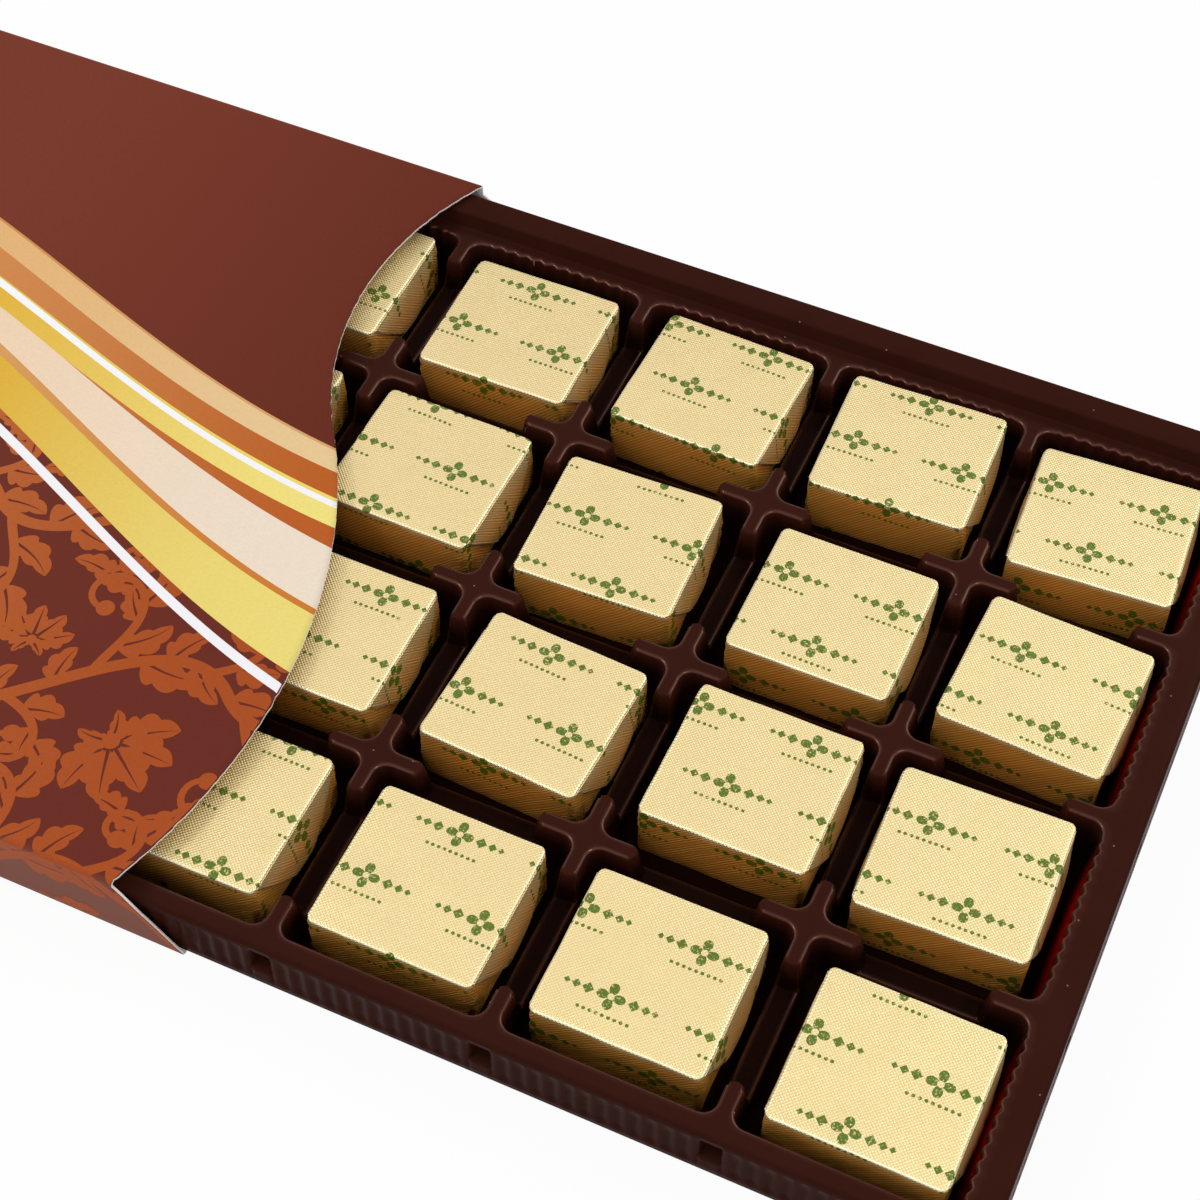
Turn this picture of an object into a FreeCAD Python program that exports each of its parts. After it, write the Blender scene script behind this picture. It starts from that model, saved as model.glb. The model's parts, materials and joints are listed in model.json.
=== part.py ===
"""Sliding chocolate box: a moulded plastic tray of foil-wrapped squares in an open card sleeve.

+X runs along the box towards the tray end that stands out of the sleeve, +Y towards the tray's
raised back lip and +Z up. The origin is the middle of the whole box's footprint, on the table.
Row 1 of the cells lies along the back lip and column 1 at the end that stands out of the sleeve.
All lengths are millimetres.
"""
import FreeCAD
import Part
import Sketcher
import math
import os

Vector = FreeCAD.Vector

# Driving dimensions, one cell of the sheet each
SIZES = {
    # Chocolate and its foil
    "foil_length": 27.4,
    "foil_width": 25.9,
    "foil_height": 11.6,
    "foil_thickness": 0.3,
    "foil_chamfer_share": 1.5,
    "flap_thickness": 0.25,
    "flap_top_width_share": 0.94,
    "flap_tip_width_share": 0.3,
    "flap_drop_share": 0.78,
    "chocolate_clearance": 0.05,
    "chocolate_draft": 0.55,
    "chocolate_edge_chamfer": 1.2,
    # Cells of the tray
    "cell_columns": 6,
    "cell_rows": 4,
    "cell_clearance_length": 2.12,
    "cell_clearance_width": 2.84,
    "cell_draft": 1.02,
    "cell_corner_radius": 4.1,
    "corner_facets": 3,
    "divider_width": 2.8,
    "foil_stand_proud": 1.55,
    # Sheet, rim, back lip and skirt of the tray
    "tray_sheet": 0.45,
    "rim_front_width": 3.45,
    "rim_end_width": 5.9,
    "back_ledge_width": 2.5,
    "lip_rise": 3.0,
    "lip_run": 0.8,
    "lip_width": 5.35,
    "tray_corner_radius": 6.0,
    "skirt_flare": 0.4,
    "flute_pitch": 2.7,
    "flute_depth": 0.5,
    # Crosses, the saddles between them and the stacking notches under the rim
    "arm_length": 8.1,
    "arm_width_way": 7.7,
    "arm_facets": 4,
    "saddle_height": 4.2,
    "saddle_shoulder": 0.3,
    "notch_width": 3.3,
    "notch_height": 4.8,
    "notch_drop": 1.6,
    "notch_depth": 2.0,
    # Card sleeve
    "board_thickness": 0.45,
    "fold_inner_radius": 0.45,
    "sleeve_side_clearance": 0.15,
    "sleeve_top_clearance": 0.8,
    "sleeve_pull_out": 129.5,
    "mouth_setback": 3.9,
    "wave_depth": 28.9,
    "wave_crest_y": -43.4,
    "wave_dip_y": 48.5,
    "wave_turn_share": 0.38,
    "glue_flap_inset": 3.0,
    # Run of every cutting form past the face that it cuts
    "cut_overrun": 1.0,
}

# Sizes and places that follow from the driving dimensions, as formulas of a second sheet
LAYOUT = {
    "cell_floor_length": "sizes.foil_length + 2 * sizes.flap_thickness + 2 * sizes.cell_clearance_length",
    "cell_floor_width": "sizes.foil_width + 2 * sizes.cell_clearance_width",
    "cell_length": "cell_floor_length + 2 * sizes.cell_draft",
    "cell_width": "cell_floor_width + 2 * sizes.cell_draft",
    "pitch_length": "cell_length + sizes.divider_width",
    "pitch_width": "cell_width + sizes.divider_width",
    "grid_length": "sizes.cell_columns * pitch_length - sizes.divider_width",
    "grid_width": "sizes.cell_rows * pitch_width - sizes.divider_width",
    "back_margin": "sizes.back_ledge_width + sizes.lip_run + sizes.lip_width",
    "tray_length": "grid_length + 2 * sizes.rim_end_width",
    "tray_width": "grid_width + sizes.rim_front_width + back_margin",
    "tray_depth": "sizes.foil_height - sizes.foil_stand_proud + sizes.tray_sheet",
    "base_height": "sizes.board_thickness",
    "floor_height": "base_height + sizes.tray_sheet",
    "saddle_top": "base_height + sizes.saddle_height",
    "rim_height": "base_height + tray_depth",
    "lip_height": "rim_height + sizes.lip_rise",
    "side_gap": "sizes.fold_inner_radius + sizes.sleeve_side_clearance",
    "sleeve_length": "tray_length + 2 * sizes.skirt_flare",
    "sleeve_inner_width": "tray_width + 2 * sizes.skirt_flare + 2 * side_gap + sizes.board_thickness",
    "sleeve_width": "sleeve_inner_width + 2 * sizes.board_thickness",
    "highest_content": "max(sizes.lip_rise; sizes.foil_stand_proud)",
    "sleeve_inner_height": "tray_depth + highest_content + sizes.sleeve_top_clearance",
    "sleeve_height": "sleeve_inner_height + 2 * sizes.board_thickness",
    "sleeve_back_x": "-(sleeve_length + sizes.sleeve_pull_out) / 2",
    "sleeve_front_x": "sleeve_back_x + sleeve_length",
    "wave_crest_x": "sleeve_front_x - sizes.mouth_setback",
    "wave_dip_x": "wave_crest_x - sizes.wave_depth",
    "wave_span": "sizes.wave_dip_y - sizes.wave_crest_y",
    "wave_turn_x": "wave_dip_x + sizes.wave_depth * sizes.wave_turn_share",
    "wave_turn_y": "sizes.wave_dip_y - wave_span * sizes.wave_turn_share",
    "wave_size": "(wave_span ^ 2 + sizes.wave_depth ^ 2) / (2 * sizes.wave_depth)",
    "dip_radius": "wave_size * sizes.wave_turn_share",
    "crest_radius": "wave_size * (1 - sizes.wave_turn_share)",
    "tray_x": "sleeve_front_x + sizes.sleeve_pull_out - sleeve_length / 2",
    "tray_y": "-sizes.board_thickness / 2",
    "grid_y": "tray_y + (sizes.rim_front_width - back_margin) / 2",
    "foil_chamfer": "sizes.foil_thickness * sizes.foil_chamfer_share",
    "hollow_length": "sizes.foil_length - 2 * sizes.foil_thickness",
    "hollow_width": "sizes.foil_width - 2 * sizes.foil_thickness",
    "hollow_height": "sizes.foil_height - 2 * sizes.foil_thickness",
    "chocolate_half_length": "hollow_length / 2 - sizes.chocolate_clearance",
    "chocolate_half_width": "hollow_width / 2 - sizes.chocolate_clearance",
    "chocolate_height": "hollow_height - sizes.chocolate_clearance",
}


def fill_sheet(name, contents, prefix):
    """A spreadsheet with one named cell per entry."""
    sheet = doc.addObject("Spreadsheet::Sheet", name)
    for line, (alias, content) in enumerate(contents.items(), start=1):
        sheet.set(f"A{line}", alias)
        sheet.set(f"B{line}", f"{prefix}{content}")
        sheet.setAlias(f"B{line}", alias)
    doc.recompute()
    return sheet


doc = FreeCAD.newDocument("chocolate_box")
sizes = fill_sheet("sizes", SIZES, "")
layout = fill_sheet("layout", LAYOUT, "=")


def size(alias):
    """Value of a driving dimension."""
    return float(sizes.get(alias))


def place(alias):
    """Value of a derived size or place."""
    return float(layout.get(alias))


def bind(thing, expressions):
    """Ties properties of an object to cells of the sheets."""
    for property_path, expression in expressions.items():
        thing.setExpression(property_path, expression)


# Moulded tray: outlines, tapered forms and the sheet between them


NO_FLUTES = [0, 0, 0, 0]
QUARTER_TURN = math.pi / 2
UP = Vector(0, 0, 1)


def facet_points(centre, radius, start, end, facets):
    """Points of a round corner that is drawn in flat facets, from one angle to another."""
    angles = [start + (end - start) * step / facets for step in range(facets + 1)]
    return [centre + Vector(math.cos(angle), math.sin(angle), 0) * radius for angle in angles]


def fluted_side(start, end, flutes):
    """Points between the ends of a straight side whose flutes dip to the left of its run."""
    run = end - start
    dip = Vector(-run.y, run.x, 0).normalize() * size("flute_depth")
    steps = 2 * flutes
    return [start + run * (step / steps) + dip * (step % 2) for step in range(1, steps)]


def outline(length, width, corner, flutes, centre):
    """Rounded rectangle with the flutes of its front, right, back and left sides."""
    across = Vector(length / 2 - corner, 0, 0)
    along = Vector(0, width / 2 - corner, 0)
    front = [centre - across - along, centre + across - along]
    turns = front + [centre + across + along, centre - across + along]
    points = []
    for index, turn in enumerate(turns):
        start = (index - 2) * QUARTER_TURN
        round_points = facet_points(turn, corner, start, start + QUARTER_TURN, int(size("corner_facets")))
        following = turns[(index + 1) % len(turns)] + round_points[-1] - turn
        points += round_points + fluted_side(round_points[-1], following, flutes[index])
    return points


def flat_face(points):
    """Flat face inside a closed outline."""
    return Part.Face(Part.makePolygon(points + points[:1]))


def drafted_form(length, width, corner, flutes, centre, heights, insets):
    """Solid between two heights whose outline is drawn in by an inset at each of them."""
    low, high = [
        outline(length - 2 * inset, width - 2 * inset, corner - inset, flutes, centre + UP * height)
        for height, inset in zip(heights, insets)
    ]
    faces = [flat_face(low), flat_face(high)]
    for index in range(len(low)):
        faces.append(flat_face([low[index - 1], low[index], high[index], high[index - 1]]))
    shell = Part.makeShell(faces)
    shell.sewShape()
    form = Part.makeSolid(shell)
    if form.Volume < 0:
        form.reverse()
    return form


def flute_count(side):
    """Whole flutes that fit along a side."""
    return max(1, round(side / size("flute_pitch")))


def cells():
    """Every cell as its row and column."""
    rows = range(1, int(size("cell_rows")) + 1)
    columns = range(1, int(size("cell_columns")) + 1)
    return [(row, column) for row in rows for column in columns]


def cell_centre(row, column, height):
    """Middle of a cell at a height; whole cells and a half give the dividers."""
    steps_x = (size("cell_columns") + 1) / 2 - column
    steps_y = (size("cell_rows") + 1) / 2 - row
    x = place("tray_x") + steps_x * place("pitch_length")
    y = place("grid_y") + steps_y * place("pitch_width")
    return Vector(x, y, height)


def cell_form(row, column, grow):
    """Drafted hollow of a cell, or its cup when grown; sides along the tray's edge are fluted."""
    corner = size("cell_corner_radius")
    flutes_x = flute_count(place("cell_length") - 2 * corner)
    flutes_y = flute_count(place("cell_width") - 2 * corner)
    flutes = [
        flutes_x if row == size("cell_rows") else 0,
        flutes_y if column == 1 else 0,
        flutes_x if row == 1 else 0,
        flutes_y if column == size("cell_columns") else 0,
    ]
    if grow:
        flutes = NO_FLUTES
    low = place("base_height") - size("cut_overrun") if grow else place("floor_height")
    heights = [low, place("rim_height") + size("cut_overrun")]
    draft = size("cell_draft") / (place("rim_height") - place("floor_height"))
    insets = [(place("rim_height") - height) * draft - grow for height in heights]
    centre = cell_centre(row, column, 0)
    return drafted_form(place("cell_length"), place("cell_width"), corner, flutes, centre, heights, insets)


def saddle_form(middle, quarter_turns, pitch, arm, half_width, grow):
    """Dip in a divider between the round arm ends of two crosses; along X before any turn."""
    radius = size("divider_width") / 2
    round_x = pitch / 2 - arm + radius
    reach = round_x + size("saddle_shoulder") + grow
    radius -= grow
    half_width += grow
    low = place("saddle_top") - grow
    points = []
    for side in (1, -1):
        turn = Vector(side * round_x, 0, low)
        start = QUARTER_TURN * (2 - side)
        arm_end = facet_points(turn, radius, -start, -start - 2 * QUARTER_TURN, int(size("arm_facets")))
        points += [Vector(side * reach, -side * half_width, low), Vector(side * reach, -side * radius, low)]
        points += arm_end
        points += [Vector(side * reach, side * radius, low), Vector(side * reach, side * half_width, low)]
    top = place("rim_height") + size("cut_overrun")
    form = flat_face(points).extrude(UP * (top - low))
    turned = FreeCAD.Rotation(UP, math.degrees(quarter_turns * QUARTER_TURN))
    form.Placement = FreeCAD.Placement(middle, turned)
    return form


def saddles(grow):
    """Dips of all the dividers between neighbouring cells."""
    beside_x = (place("pitch_length") - place("cell_floor_length")) / 2
    beside_y = (place("pitch_width") - place("cell_floor_width")) / 2
    forms = []
    for row, column in cells():
        if column < size("cell_columns"):
            middle = cell_centre(row, column + 1 / 2, 0)
            forms.append(saddle_form(middle, 1, place("pitch_width"), size("arm_width_way"), beside_x, grow))
        if row < size("cell_rows"):
            middle = cell_centre(row + 1 / 2, column, 0)
            forms.append(saddle_form(middle, 0, place("pitch_length"), size("arm_length"), beside_y, grow))
    return forms


def notch_form(x, y, along, across, grow):
    """Stacking notch in the skirt, centred on a point of it."""
    half_along = along / 2 + grow
    half_across = across / 2 + grow
    top = place("rim_height") - size("notch_drop") + grow
    low = top - size("notch_height") - 2 * grow
    corner = Vector(x - half_along, y - half_across, low)
    return Part.makeBox(2 * half_along, 2 * half_across, top - low, corner)


def notches(grow):
    """One notch under the rim at each end of every divider."""
    wide = size("notch_width")
    deep = 2 * size("notch_depth")
    end_x = place("tray_length") / 2
    end_y = place("tray_width") / 2
    forms = []
    for column in range(1, int(size("cell_columns"))):
        x = cell_centre(1, column + 1 / 2, 0).x
        for y in (place("tray_y") - end_y, place("tray_y") + end_y):
            forms.append(notch_form(x, y, wide, deep, grow))
    for row in range(1, int(size("cell_rows"))):
        y = cell_centre(row + 1 / 2, 1, 0).y
        for x in (place("tray_x") - end_x, place("tray_x") + end_x):
            forms.append(notch_form(x, y, deep, wide, grow))
    return forms


def lip_form(grow):
    """Raised back lip above the rim, its riser leaning back; thinner by the sheet when grown."""
    overrun = size("cut_overrun")
    inset = size("flute_depth") + grow
    corner = size("tray_corner_radius") - inset
    low = place("rim_height") - grow
    length = place("tray_length") - 2 * inset
    width = place("tray_width") - 2 * inset
    centre = Vector(place("tray_x"), place("tray_y"), low)
    slab = flat_face(outline(length, width, corner, NO_FLUTES, centre)).extrude(UP * size("lip_rise"))
    riser = place("tray_y") + place("tray_width") / 2 - size("lip_width") - size("lip_run") + grow
    rise = size("lip_rise") + overrun
    run = size("lip_run") * rise / size("lip_rise")
    start = place("tray_x") - place("tray_length")
    front = place("tray_y") - place("tray_width")
    corners = [
        Vector(start, front, low - overrun),
        Vector(start, riser, low - overrun),
        Vector(start, riser, low),
        Vector(start, riser + run, low + rise),
        Vector(start, front, low + rise),
    ]
    return slab.cut(flat_face(corners).extrude(Vector(2 * place("tray_length"), 0, 0)))


def tray_form(grow):
    """Solid under the tray's top surface, or under its lower surface when grown by the sheet."""
    corner = size("tray_corner_radius")
    flutes_x = flute_count(place("tray_length") - 2 * corner)
    flutes_y = flute_count(place("tray_width") - 2 * corner)
    flutes = NO_FLUTES if grow else [flutes_x, flutes_y, flutes_x, flutes_y]
    inset = size("flute_depth") + grow if grow else 0
    low = place("base_height") - size("cut_overrun") if grow else place("base_height")
    heights = [low, place("rim_height") - grow]
    flare = size("skirt_flare") / (place("rim_height") - place("base_height"))
    insets = [inset - (place("rim_height") - height) * flare for height in heights]
    centre = Vector(place("tray_x"), place("tray_y"), 0)
    skirt = drafted_form(place("tray_length"), place("tray_width"), corner, flutes, centre, heights, insets)
    block = skirt.fuse(lip_form(grow))
    hollows = [cell_form(row, column, grow) for row, column in cells()]
    return block.cut(hollows + saddles(grow) + notches(grow))


def make_tray():
    """The tray is the sheet between its top surface and the space under it."""
    upper = doc.addObject("Part::Feature", "tray_upper_form")
    upper.Shape = tray_form(0)
    under = doc.addObject("Part::Feature", "tray_under_form")
    under.Shape = tray_form(size("tray_sheet"))
    tray = doc.addObject("Part::Cut", "tray")
    tray.Base = upper
    tray.Tool = under
    return tray


# Card sleeve: a folded tube whose mouth is cut in a wave


def folded_tube_face(name, expressions, radius):
    """Box bound to the sheets, with its four long edges rounded as folds."""
    box = doc.addObject("Part::Box", f"{name}_block")
    bind(box, expressions)
    doc.recompute()
    long_edges = []
    for number, edge in enumerate(box.Shape.Edges, start=1):
        run = edge.Vertexes[1].Point - edge.Vertexes[0].Point
        if abs(run.x) > abs(run.y) + abs(run.z):
            long_edges.append((number, radius, radius))
    rounded = doc.addObject("Part::Fillet", name)
    rounded.Base = box
    rounded.Edges = long_edges
    return rounded


def wave_x(y):
    """Place of the mouth's wave edge at a distance across the sleeve."""
    if y > place("wave_turn_y"):
        radius = place("dip_radius")
        return place("wave_dip_x") + radius - math.sqrt(radius ** 2 - (y - size("wave_dip_y")) ** 2)
    radius = place("crest_radius")
    return place("wave_crest_x") - radius + math.sqrt(radius ** 2 - (y - size("wave_crest_y")) ** 2)


def mouth_form():
    """Card that the mouth lacks: a wave in the top panel and a slant in each side panel."""
    overrun = size("cut_overrun")
    reach = place("sleeve_width") / 2 + overrun
    ahead = place("sleeve_front_x") + overrun
    fold_low = size("board_thickness") + size("fold_inner_radius")
    fold_top = place("sleeve_height") - fold_low
    top = place("sleeve_height") + overrun
    middle = Vector(place("wave_turn_x"), place("wave_turn_y"), fold_top)
    dip = Vector(place("wave_dip_x"), size("wave_dip_y"), fold_top)
    crest = Vector(place("wave_crest_x"), size("wave_crest_y"), fold_top)
    back = Vector(wave_x(reach), reach, fold_top)
    front = Vector(wave_x(-reach), -reach, fold_top)
    corners = [back, Vector(ahead, reach, fold_top), Vector(ahead, -reach, fold_top), front]
    edges = [Part.Arc(front, crest, middle).toShape(), Part.Arc(middle, dip, back).toShape()]
    edges += [Part.makeLine(*pair) for pair in zip(corners, corners[1:])]
    forms = [Part.Face(Part.Wire(edges)).extrude(Vector(0, 0, top - fold_top))]
    inner = place("sleeve_inner_width") / 2 - size("fold_inner_radius")
    for side in (-1, 1):
        start = wave_x(side * inner)
        slant = [
            Vector(start, side * inner, top),
            Vector(start, side * inner, fold_top),
            Vector(place("sleeve_front_x"), side * inner, fold_low),
            Vector(ahead, side * inner, fold_low),
            Vector(ahead, side * inner, top),
        ]
        forms.append(flat_face(slant).extrude(Vector(0, side * (reach - inner), 0)))
    return forms[0].fuse(forms[1:])


def make_sleeve():
    """Tube of board with a wave-cut mouth and a glue flap inside its back panel."""
    inner_radius = size("fold_inner_radius")
    outside = folded_tube_face("sleeve_outside", {
        "Length": "layout.sleeve_length",
        "Width": "layout.sleeve_width",
        "Height": "layout.sleeve_height",
        "Placement.Base.x": "layout.sleeve_back_x",
        "Placement.Base.y": "-layout.sleeve_width / 2",
    }, inner_radius + size("board_thickness"))
    inside = folded_tube_face("sleeve_inside", {
        "Length": "layout.sleeve_length + 2 * sizes.cut_overrun",
        "Width": "layout.sleeve_inner_width",
        "Height": "layout.sleeve_inner_height",
        "Placement.Base.x": "layout.sleeve_back_x - sizes.cut_overrun",
        "Placement.Base.y": "-layout.sleeve_inner_width / 2",
        "Placement.Base.z": "sizes.board_thickness",
    }, inner_radius)
    tube = doc.addObject("Part::Cut", "sleeve_tube")
    tube.Base = outside
    tube.Tool = inside
    mouth = doc.addObject("Part::Feature", "sleeve_mouth")
    mouth.Shape = mouth_form()
    wrap = doc.addObject("Part::Cut", "sleeve_wrap")
    wrap.Base = tube
    wrap.Tool = mouth
    flap = doc.addObject("Part::Box", "glue_flap")
    flap_end = wave_x(place("sleeve_inner_width") / 2) - size("glue_flap_inset")
    flap.Length = flap_end - place("sleeve_back_x") - size("glue_flap_inset")
    bind(flap, {
        "Width": "sizes.board_thickness",
        "Height": "layout.sleeve_inner_height - 2 * sizes.fold_inner_radius",
        "Placement.Base.x": "layout.sleeve_back_x + sizes.glue_flap_inset",
        "Placement.Base.y": "layout.sleeve_inner_width / 2 - sizes.board_thickness",
        "Placement.Base.z": "sizes.board_thickness + sizes.fold_inner_radius",
    })
    sleeve = doc.addObject("Part::Fuse", "sleeve")
    sleeve.Base = wrap
    sleeve.Tool = flap
    return sleeve


# Foil wrapper and chocolate: one form of each, repeated in every cell


def new_sketch(body, name, role):
    """Empty sketch on one of the body's own origin planes."""
    sketch = body.newObject("Sketcher::SketchObject", name)
    plane = next(item for item in body.Origin.OriginFeatures if item.Role == role)
    sketch.AttachmentSupport = [(plane, "")]
    sketch.MapMode = "FlatFace"
    return sketch


def add_loop(sketch, points):
    """Closed loop of lines with joined ends."""
    count = len(points)
    for index in range(count):
        sketch.addGeometry(Part.LineSegment(points[index], points[(index + 1) % count]))
    for index in range(count):
        sketch.addConstraint(Sketcher.Constraint("Coincident", index, 2, (index + 1) % count, 1))


def add_measure(sketch, name, kind, ends, value, expression):
    """Named distance between two points of a sketch, bound to the sheets."""
    number = sketch.addConstraint(Sketcher.Constraint(kind, *ends, value))
    sketch.renameConstraint(number, name)
    sketch.setExpression(f"Constraints.{name}", expression)


def centred_rectangle(body, name, length, width, length_from, width_from):
    """Sketch of a rectangle about the origin of the floor plane."""
    sketch = new_sketch(body, name, "XY_Plane")
    x = length / 2
    y = width / 2
    add_loop(sketch, [Vector(-x, -y, 0), Vector(x, -y, 0), Vector(x, y, 0), Vector(-x, y, 0)])
    sketch.addConstraint(Sketcher.Constraint("Horizontal", 0))
    sketch.addConstraint(Sketcher.Constraint("Horizontal", 2))
    sketch.addConstraint(Sketcher.Constraint("Vertical", 1))
    sketch.addConstraint(Sketcher.Constraint("Vertical", 3))
    sketch.addConstraint(Sketcher.Constraint("Symmetric", 0, 1, 1, 2, -1, 1))
    add_measure(sketch, "span_x", "DistanceX", (0, 1, 0, 2), length, length_from)
    add_measure(sketch, "span_y", "DistanceY", (1, 1, 1, 2), width, width_from)
    return sketch


def pad(body, name, sketch, length_from):
    """Pad of a sketch to a length from the sheets."""
    feature = body.newObject("PartDesign::Pad", name)
    feature.Profile = sketch
    feature.setExpression("Length", length_from)
    doc.recompute()
    return feature


def edges_where(shape, test):
    """Names of the straight edges whose two end points both pass a test."""
    names = []
    for number, edge in enumerate(shape.Edges, start=1):
        if all(test(vertex.Point) for vertex in edge.Vertexes):
            names.append(f"Edge{number}")
    return names


def make_foil_form():
    """Foil folded round a square like a parcel, with a pointed flap down each end."""
    body = doc.addObject("PartDesign::Body", "foil_form")
    outline = centred_rectangle(
        body, "foil_outline", size("foil_length"), size("foil_width"), "sizes.foil_length", "sizes.foil_width"
    )
    block = pad(body, "foil_block", outline, "sizes.foil_height")
    middle = size("foil_height") / 2
    bevel = body.newObject("PartDesign::Chamfer", "foil_bevel")
    bevel.Base = (block, edges_where(block.Shape, lambda point: point.z > middle))
    bevel.setExpression("Size", "layout.foil_chamfer")
    doc.recompute()
    flap = new_sketch(body, "flap_outline", "YZ_Plane")
    top = size("foil_height") - place("foil_chamfer")
    tip = size("foil_height") * (1 - size("flap_drop_share"))
    wide = size("foil_width") * size("flap_top_width_share") / 2
    narrow = size("foil_width") * size("flap_tip_width_share") / 2
    tip_line = [Vector(-narrow, tip, 0), Vector(narrow, tip, 0)]
    add_loop(flap, tip_line + [Vector(wide, top, 0), Vector(-wide, top, 0)])
    flap.addConstraint(Sketcher.Constraint("Symmetric", 0, 1, 0, 2, -2))
    flap.addConstraint(Sketcher.Constraint("Symmetric", 2, 1, 2, 2, -2))
    add_measure(flap, "tip_width", "DistanceX", (0, 1, 0, 2), 2 * narrow,
                "sizes.foil_width * sizes.flap_tip_width_share")
    add_measure(flap, "top_width", "DistanceX", (2, 2, 2, 1), 2 * wide,
                "sizes.foil_width * sizes.flap_top_width_share")
    add_measure(flap, "tip_height", "DistanceY", (-1, 1, 0, 1), tip,
                "sizes.foil_height * (1 - sizes.flap_drop_share)")
    add_measure(flap, "top_height", "DistanceY", (-1, 1, 2, 1), top,
                "sizes.foil_height - layout.foil_chamfer")
    flaps = pad(body, "flaps", flap, "sizes.foil_length + 2 * sizes.flap_thickness")
    flaps.SideType = "Symmetric"
    hollow = body.newObject("PartDesign::SubtractiveBox", "foil_hollow")
    bind(hollow, {
        "Length": "layout.hollow_length",
        "Width": "layout.hollow_width",
        "Height": "layout.hollow_height",
        "Placement.Base.x": "-layout.hollow_length / 2",
        "Placement.Base.y": "-layout.hollow_width / 2",
        "Placement.Base.z": "sizes.foil_thickness",
    })
    doc.recompute()
    return body


def make_chocolate_form():
    """Moulded square with drafted sides and bevelled top edges that fills its foil."""
    block = doc.addObject("Part::Wedge", "chocolate_block")
    bind(block, {
        "Xmin": "-layout.chocolate_half_length",
        "Xmax": "layout.chocolate_half_length",
        "Ymin": "0 mm",
        "Ymax": "layout.chocolate_height",
        "Zmin": "-layout.chocolate_half_width",
        "Zmax": "layout.chocolate_half_width",
        "X2min": "sizes.chocolate_draft - layout.chocolate_half_length",
        "X2max": "layout.chocolate_half_length - sizes.chocolate_draft",
        "Z2min": "sizes.chocolate_draft - layout.chocolate_half_width",
        "Z2max": "layout.chocolate_half_width - sizes.chocolate_draft",
    })
    upright = FreeCAD.Rotation(Vector(1, 0, 0), math.degrees(QUARTER_TURN))
    block.Placement = FreeCAD.Placement(Vector(), upright)
    doc.recompute()
    top = place("chocolate_height") / 2
    bevel = doc.addObject("Part::Chamfer", "chocolate_form")
    bevel.Base = block
    chamfer = size("chocolate_edge_chamfer")
    names = edges_where(block.Shape, lambda point: point.z > top)
    bevel.Edges = [(int(name.removeprefix("Edge")), chamfer, chamfer) for name in names]
    doc.recompute()
    return bevel


def fill_cells(form, name, height):
    """A copy of a form in every cell, standing at a height."""
    copies = []
    for row, column in cells():
        copy = doc.addObject("Part::Feature", f"{name}_r{row}_c{column}")
        copy.Shape = form.Shape.copy()
        copy.Placement = FreeCAD.Placement(cell_centre(row, column, height), FreeCAD.Rotation())
        copies.append(copy)
    return copies


def check(thing):
    """Stops the build on an object that failed or holds no sound shape."""
    if "Invalid" in thing.State or "Error" in thing.State:
        raise RuntimeError(f"{thing.Label} failed to build: {thing.State}")
    if hasattr(thing, "Shape") and thing.Shape.isNull():
        raise RuntimeError(f"{thing.Label} has no shape")


sub_parts = [make_tray(), make_sleeve()]
sub_parts += fill_cells(make_foil_form(), "foil_wrapper", place("floor_height"))
sub_parts += fill_cells(make_chocolate_form(), "chocolate", place("floor_height") + size("foil_thickness"))
doc.recompute()
for item in doc.Objects:
    check(item)
os.makedirs("parts", exist_ok=True)
for sub_part in sub_parts:
    if not sub_part.Shape.isValid() or len(sub_part.Shape.Solids) != 1:
        raise RuntimeError(f"{sub_part.Label} is not one sound solid")
for sub_part in sub_parts:
    sub_part.Shape.exportStep(f"parts/{sub_part.Label}.step")
    print(sub_part.Label, f"{sub_part.Shape.Volume:.1f} mm3", sub_part.Shape.BoundBox)
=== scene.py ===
"""Looks of the chocolate box, made around its CAD frame.

A moulded tray of foil-wrapped squares slides in an open printed card sleeve. All sizes are in
millimetres; meshes are scaled to metres when they are made.
"""
import json
import math

import bmesh
import bpy
import numpy as np
from mathutils import Matrix, Vector, noise


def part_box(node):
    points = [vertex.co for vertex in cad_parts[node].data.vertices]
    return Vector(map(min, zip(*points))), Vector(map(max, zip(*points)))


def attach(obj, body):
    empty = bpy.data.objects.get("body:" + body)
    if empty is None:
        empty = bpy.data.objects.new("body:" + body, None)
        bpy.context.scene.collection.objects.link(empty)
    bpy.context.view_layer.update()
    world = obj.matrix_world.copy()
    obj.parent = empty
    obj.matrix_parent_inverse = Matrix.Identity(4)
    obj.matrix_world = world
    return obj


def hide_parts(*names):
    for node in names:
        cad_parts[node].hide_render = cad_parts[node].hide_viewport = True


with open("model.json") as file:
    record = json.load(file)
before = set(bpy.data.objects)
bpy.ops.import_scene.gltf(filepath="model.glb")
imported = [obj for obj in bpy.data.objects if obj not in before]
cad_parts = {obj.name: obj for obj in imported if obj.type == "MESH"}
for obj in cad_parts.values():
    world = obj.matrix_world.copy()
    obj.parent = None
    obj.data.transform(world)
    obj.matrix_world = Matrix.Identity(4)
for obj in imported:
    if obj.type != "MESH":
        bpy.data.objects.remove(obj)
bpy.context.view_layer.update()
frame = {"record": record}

# Metres in a millimetre
MM = 0.001
COLUMNS = 6
ROWS = 4


def node_box(node):
    """Lowest and highest corner of a CAD node, in millimetres."""
    low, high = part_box(node)
    return low / MM, high / MM


def foil_node(row, column):
    return f"foil_wrapper_r{row}_c{column}"


def cell_centre(row, column):
    low, high = node_box(foil_node(row, column))
    return (low + high) / 2


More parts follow.
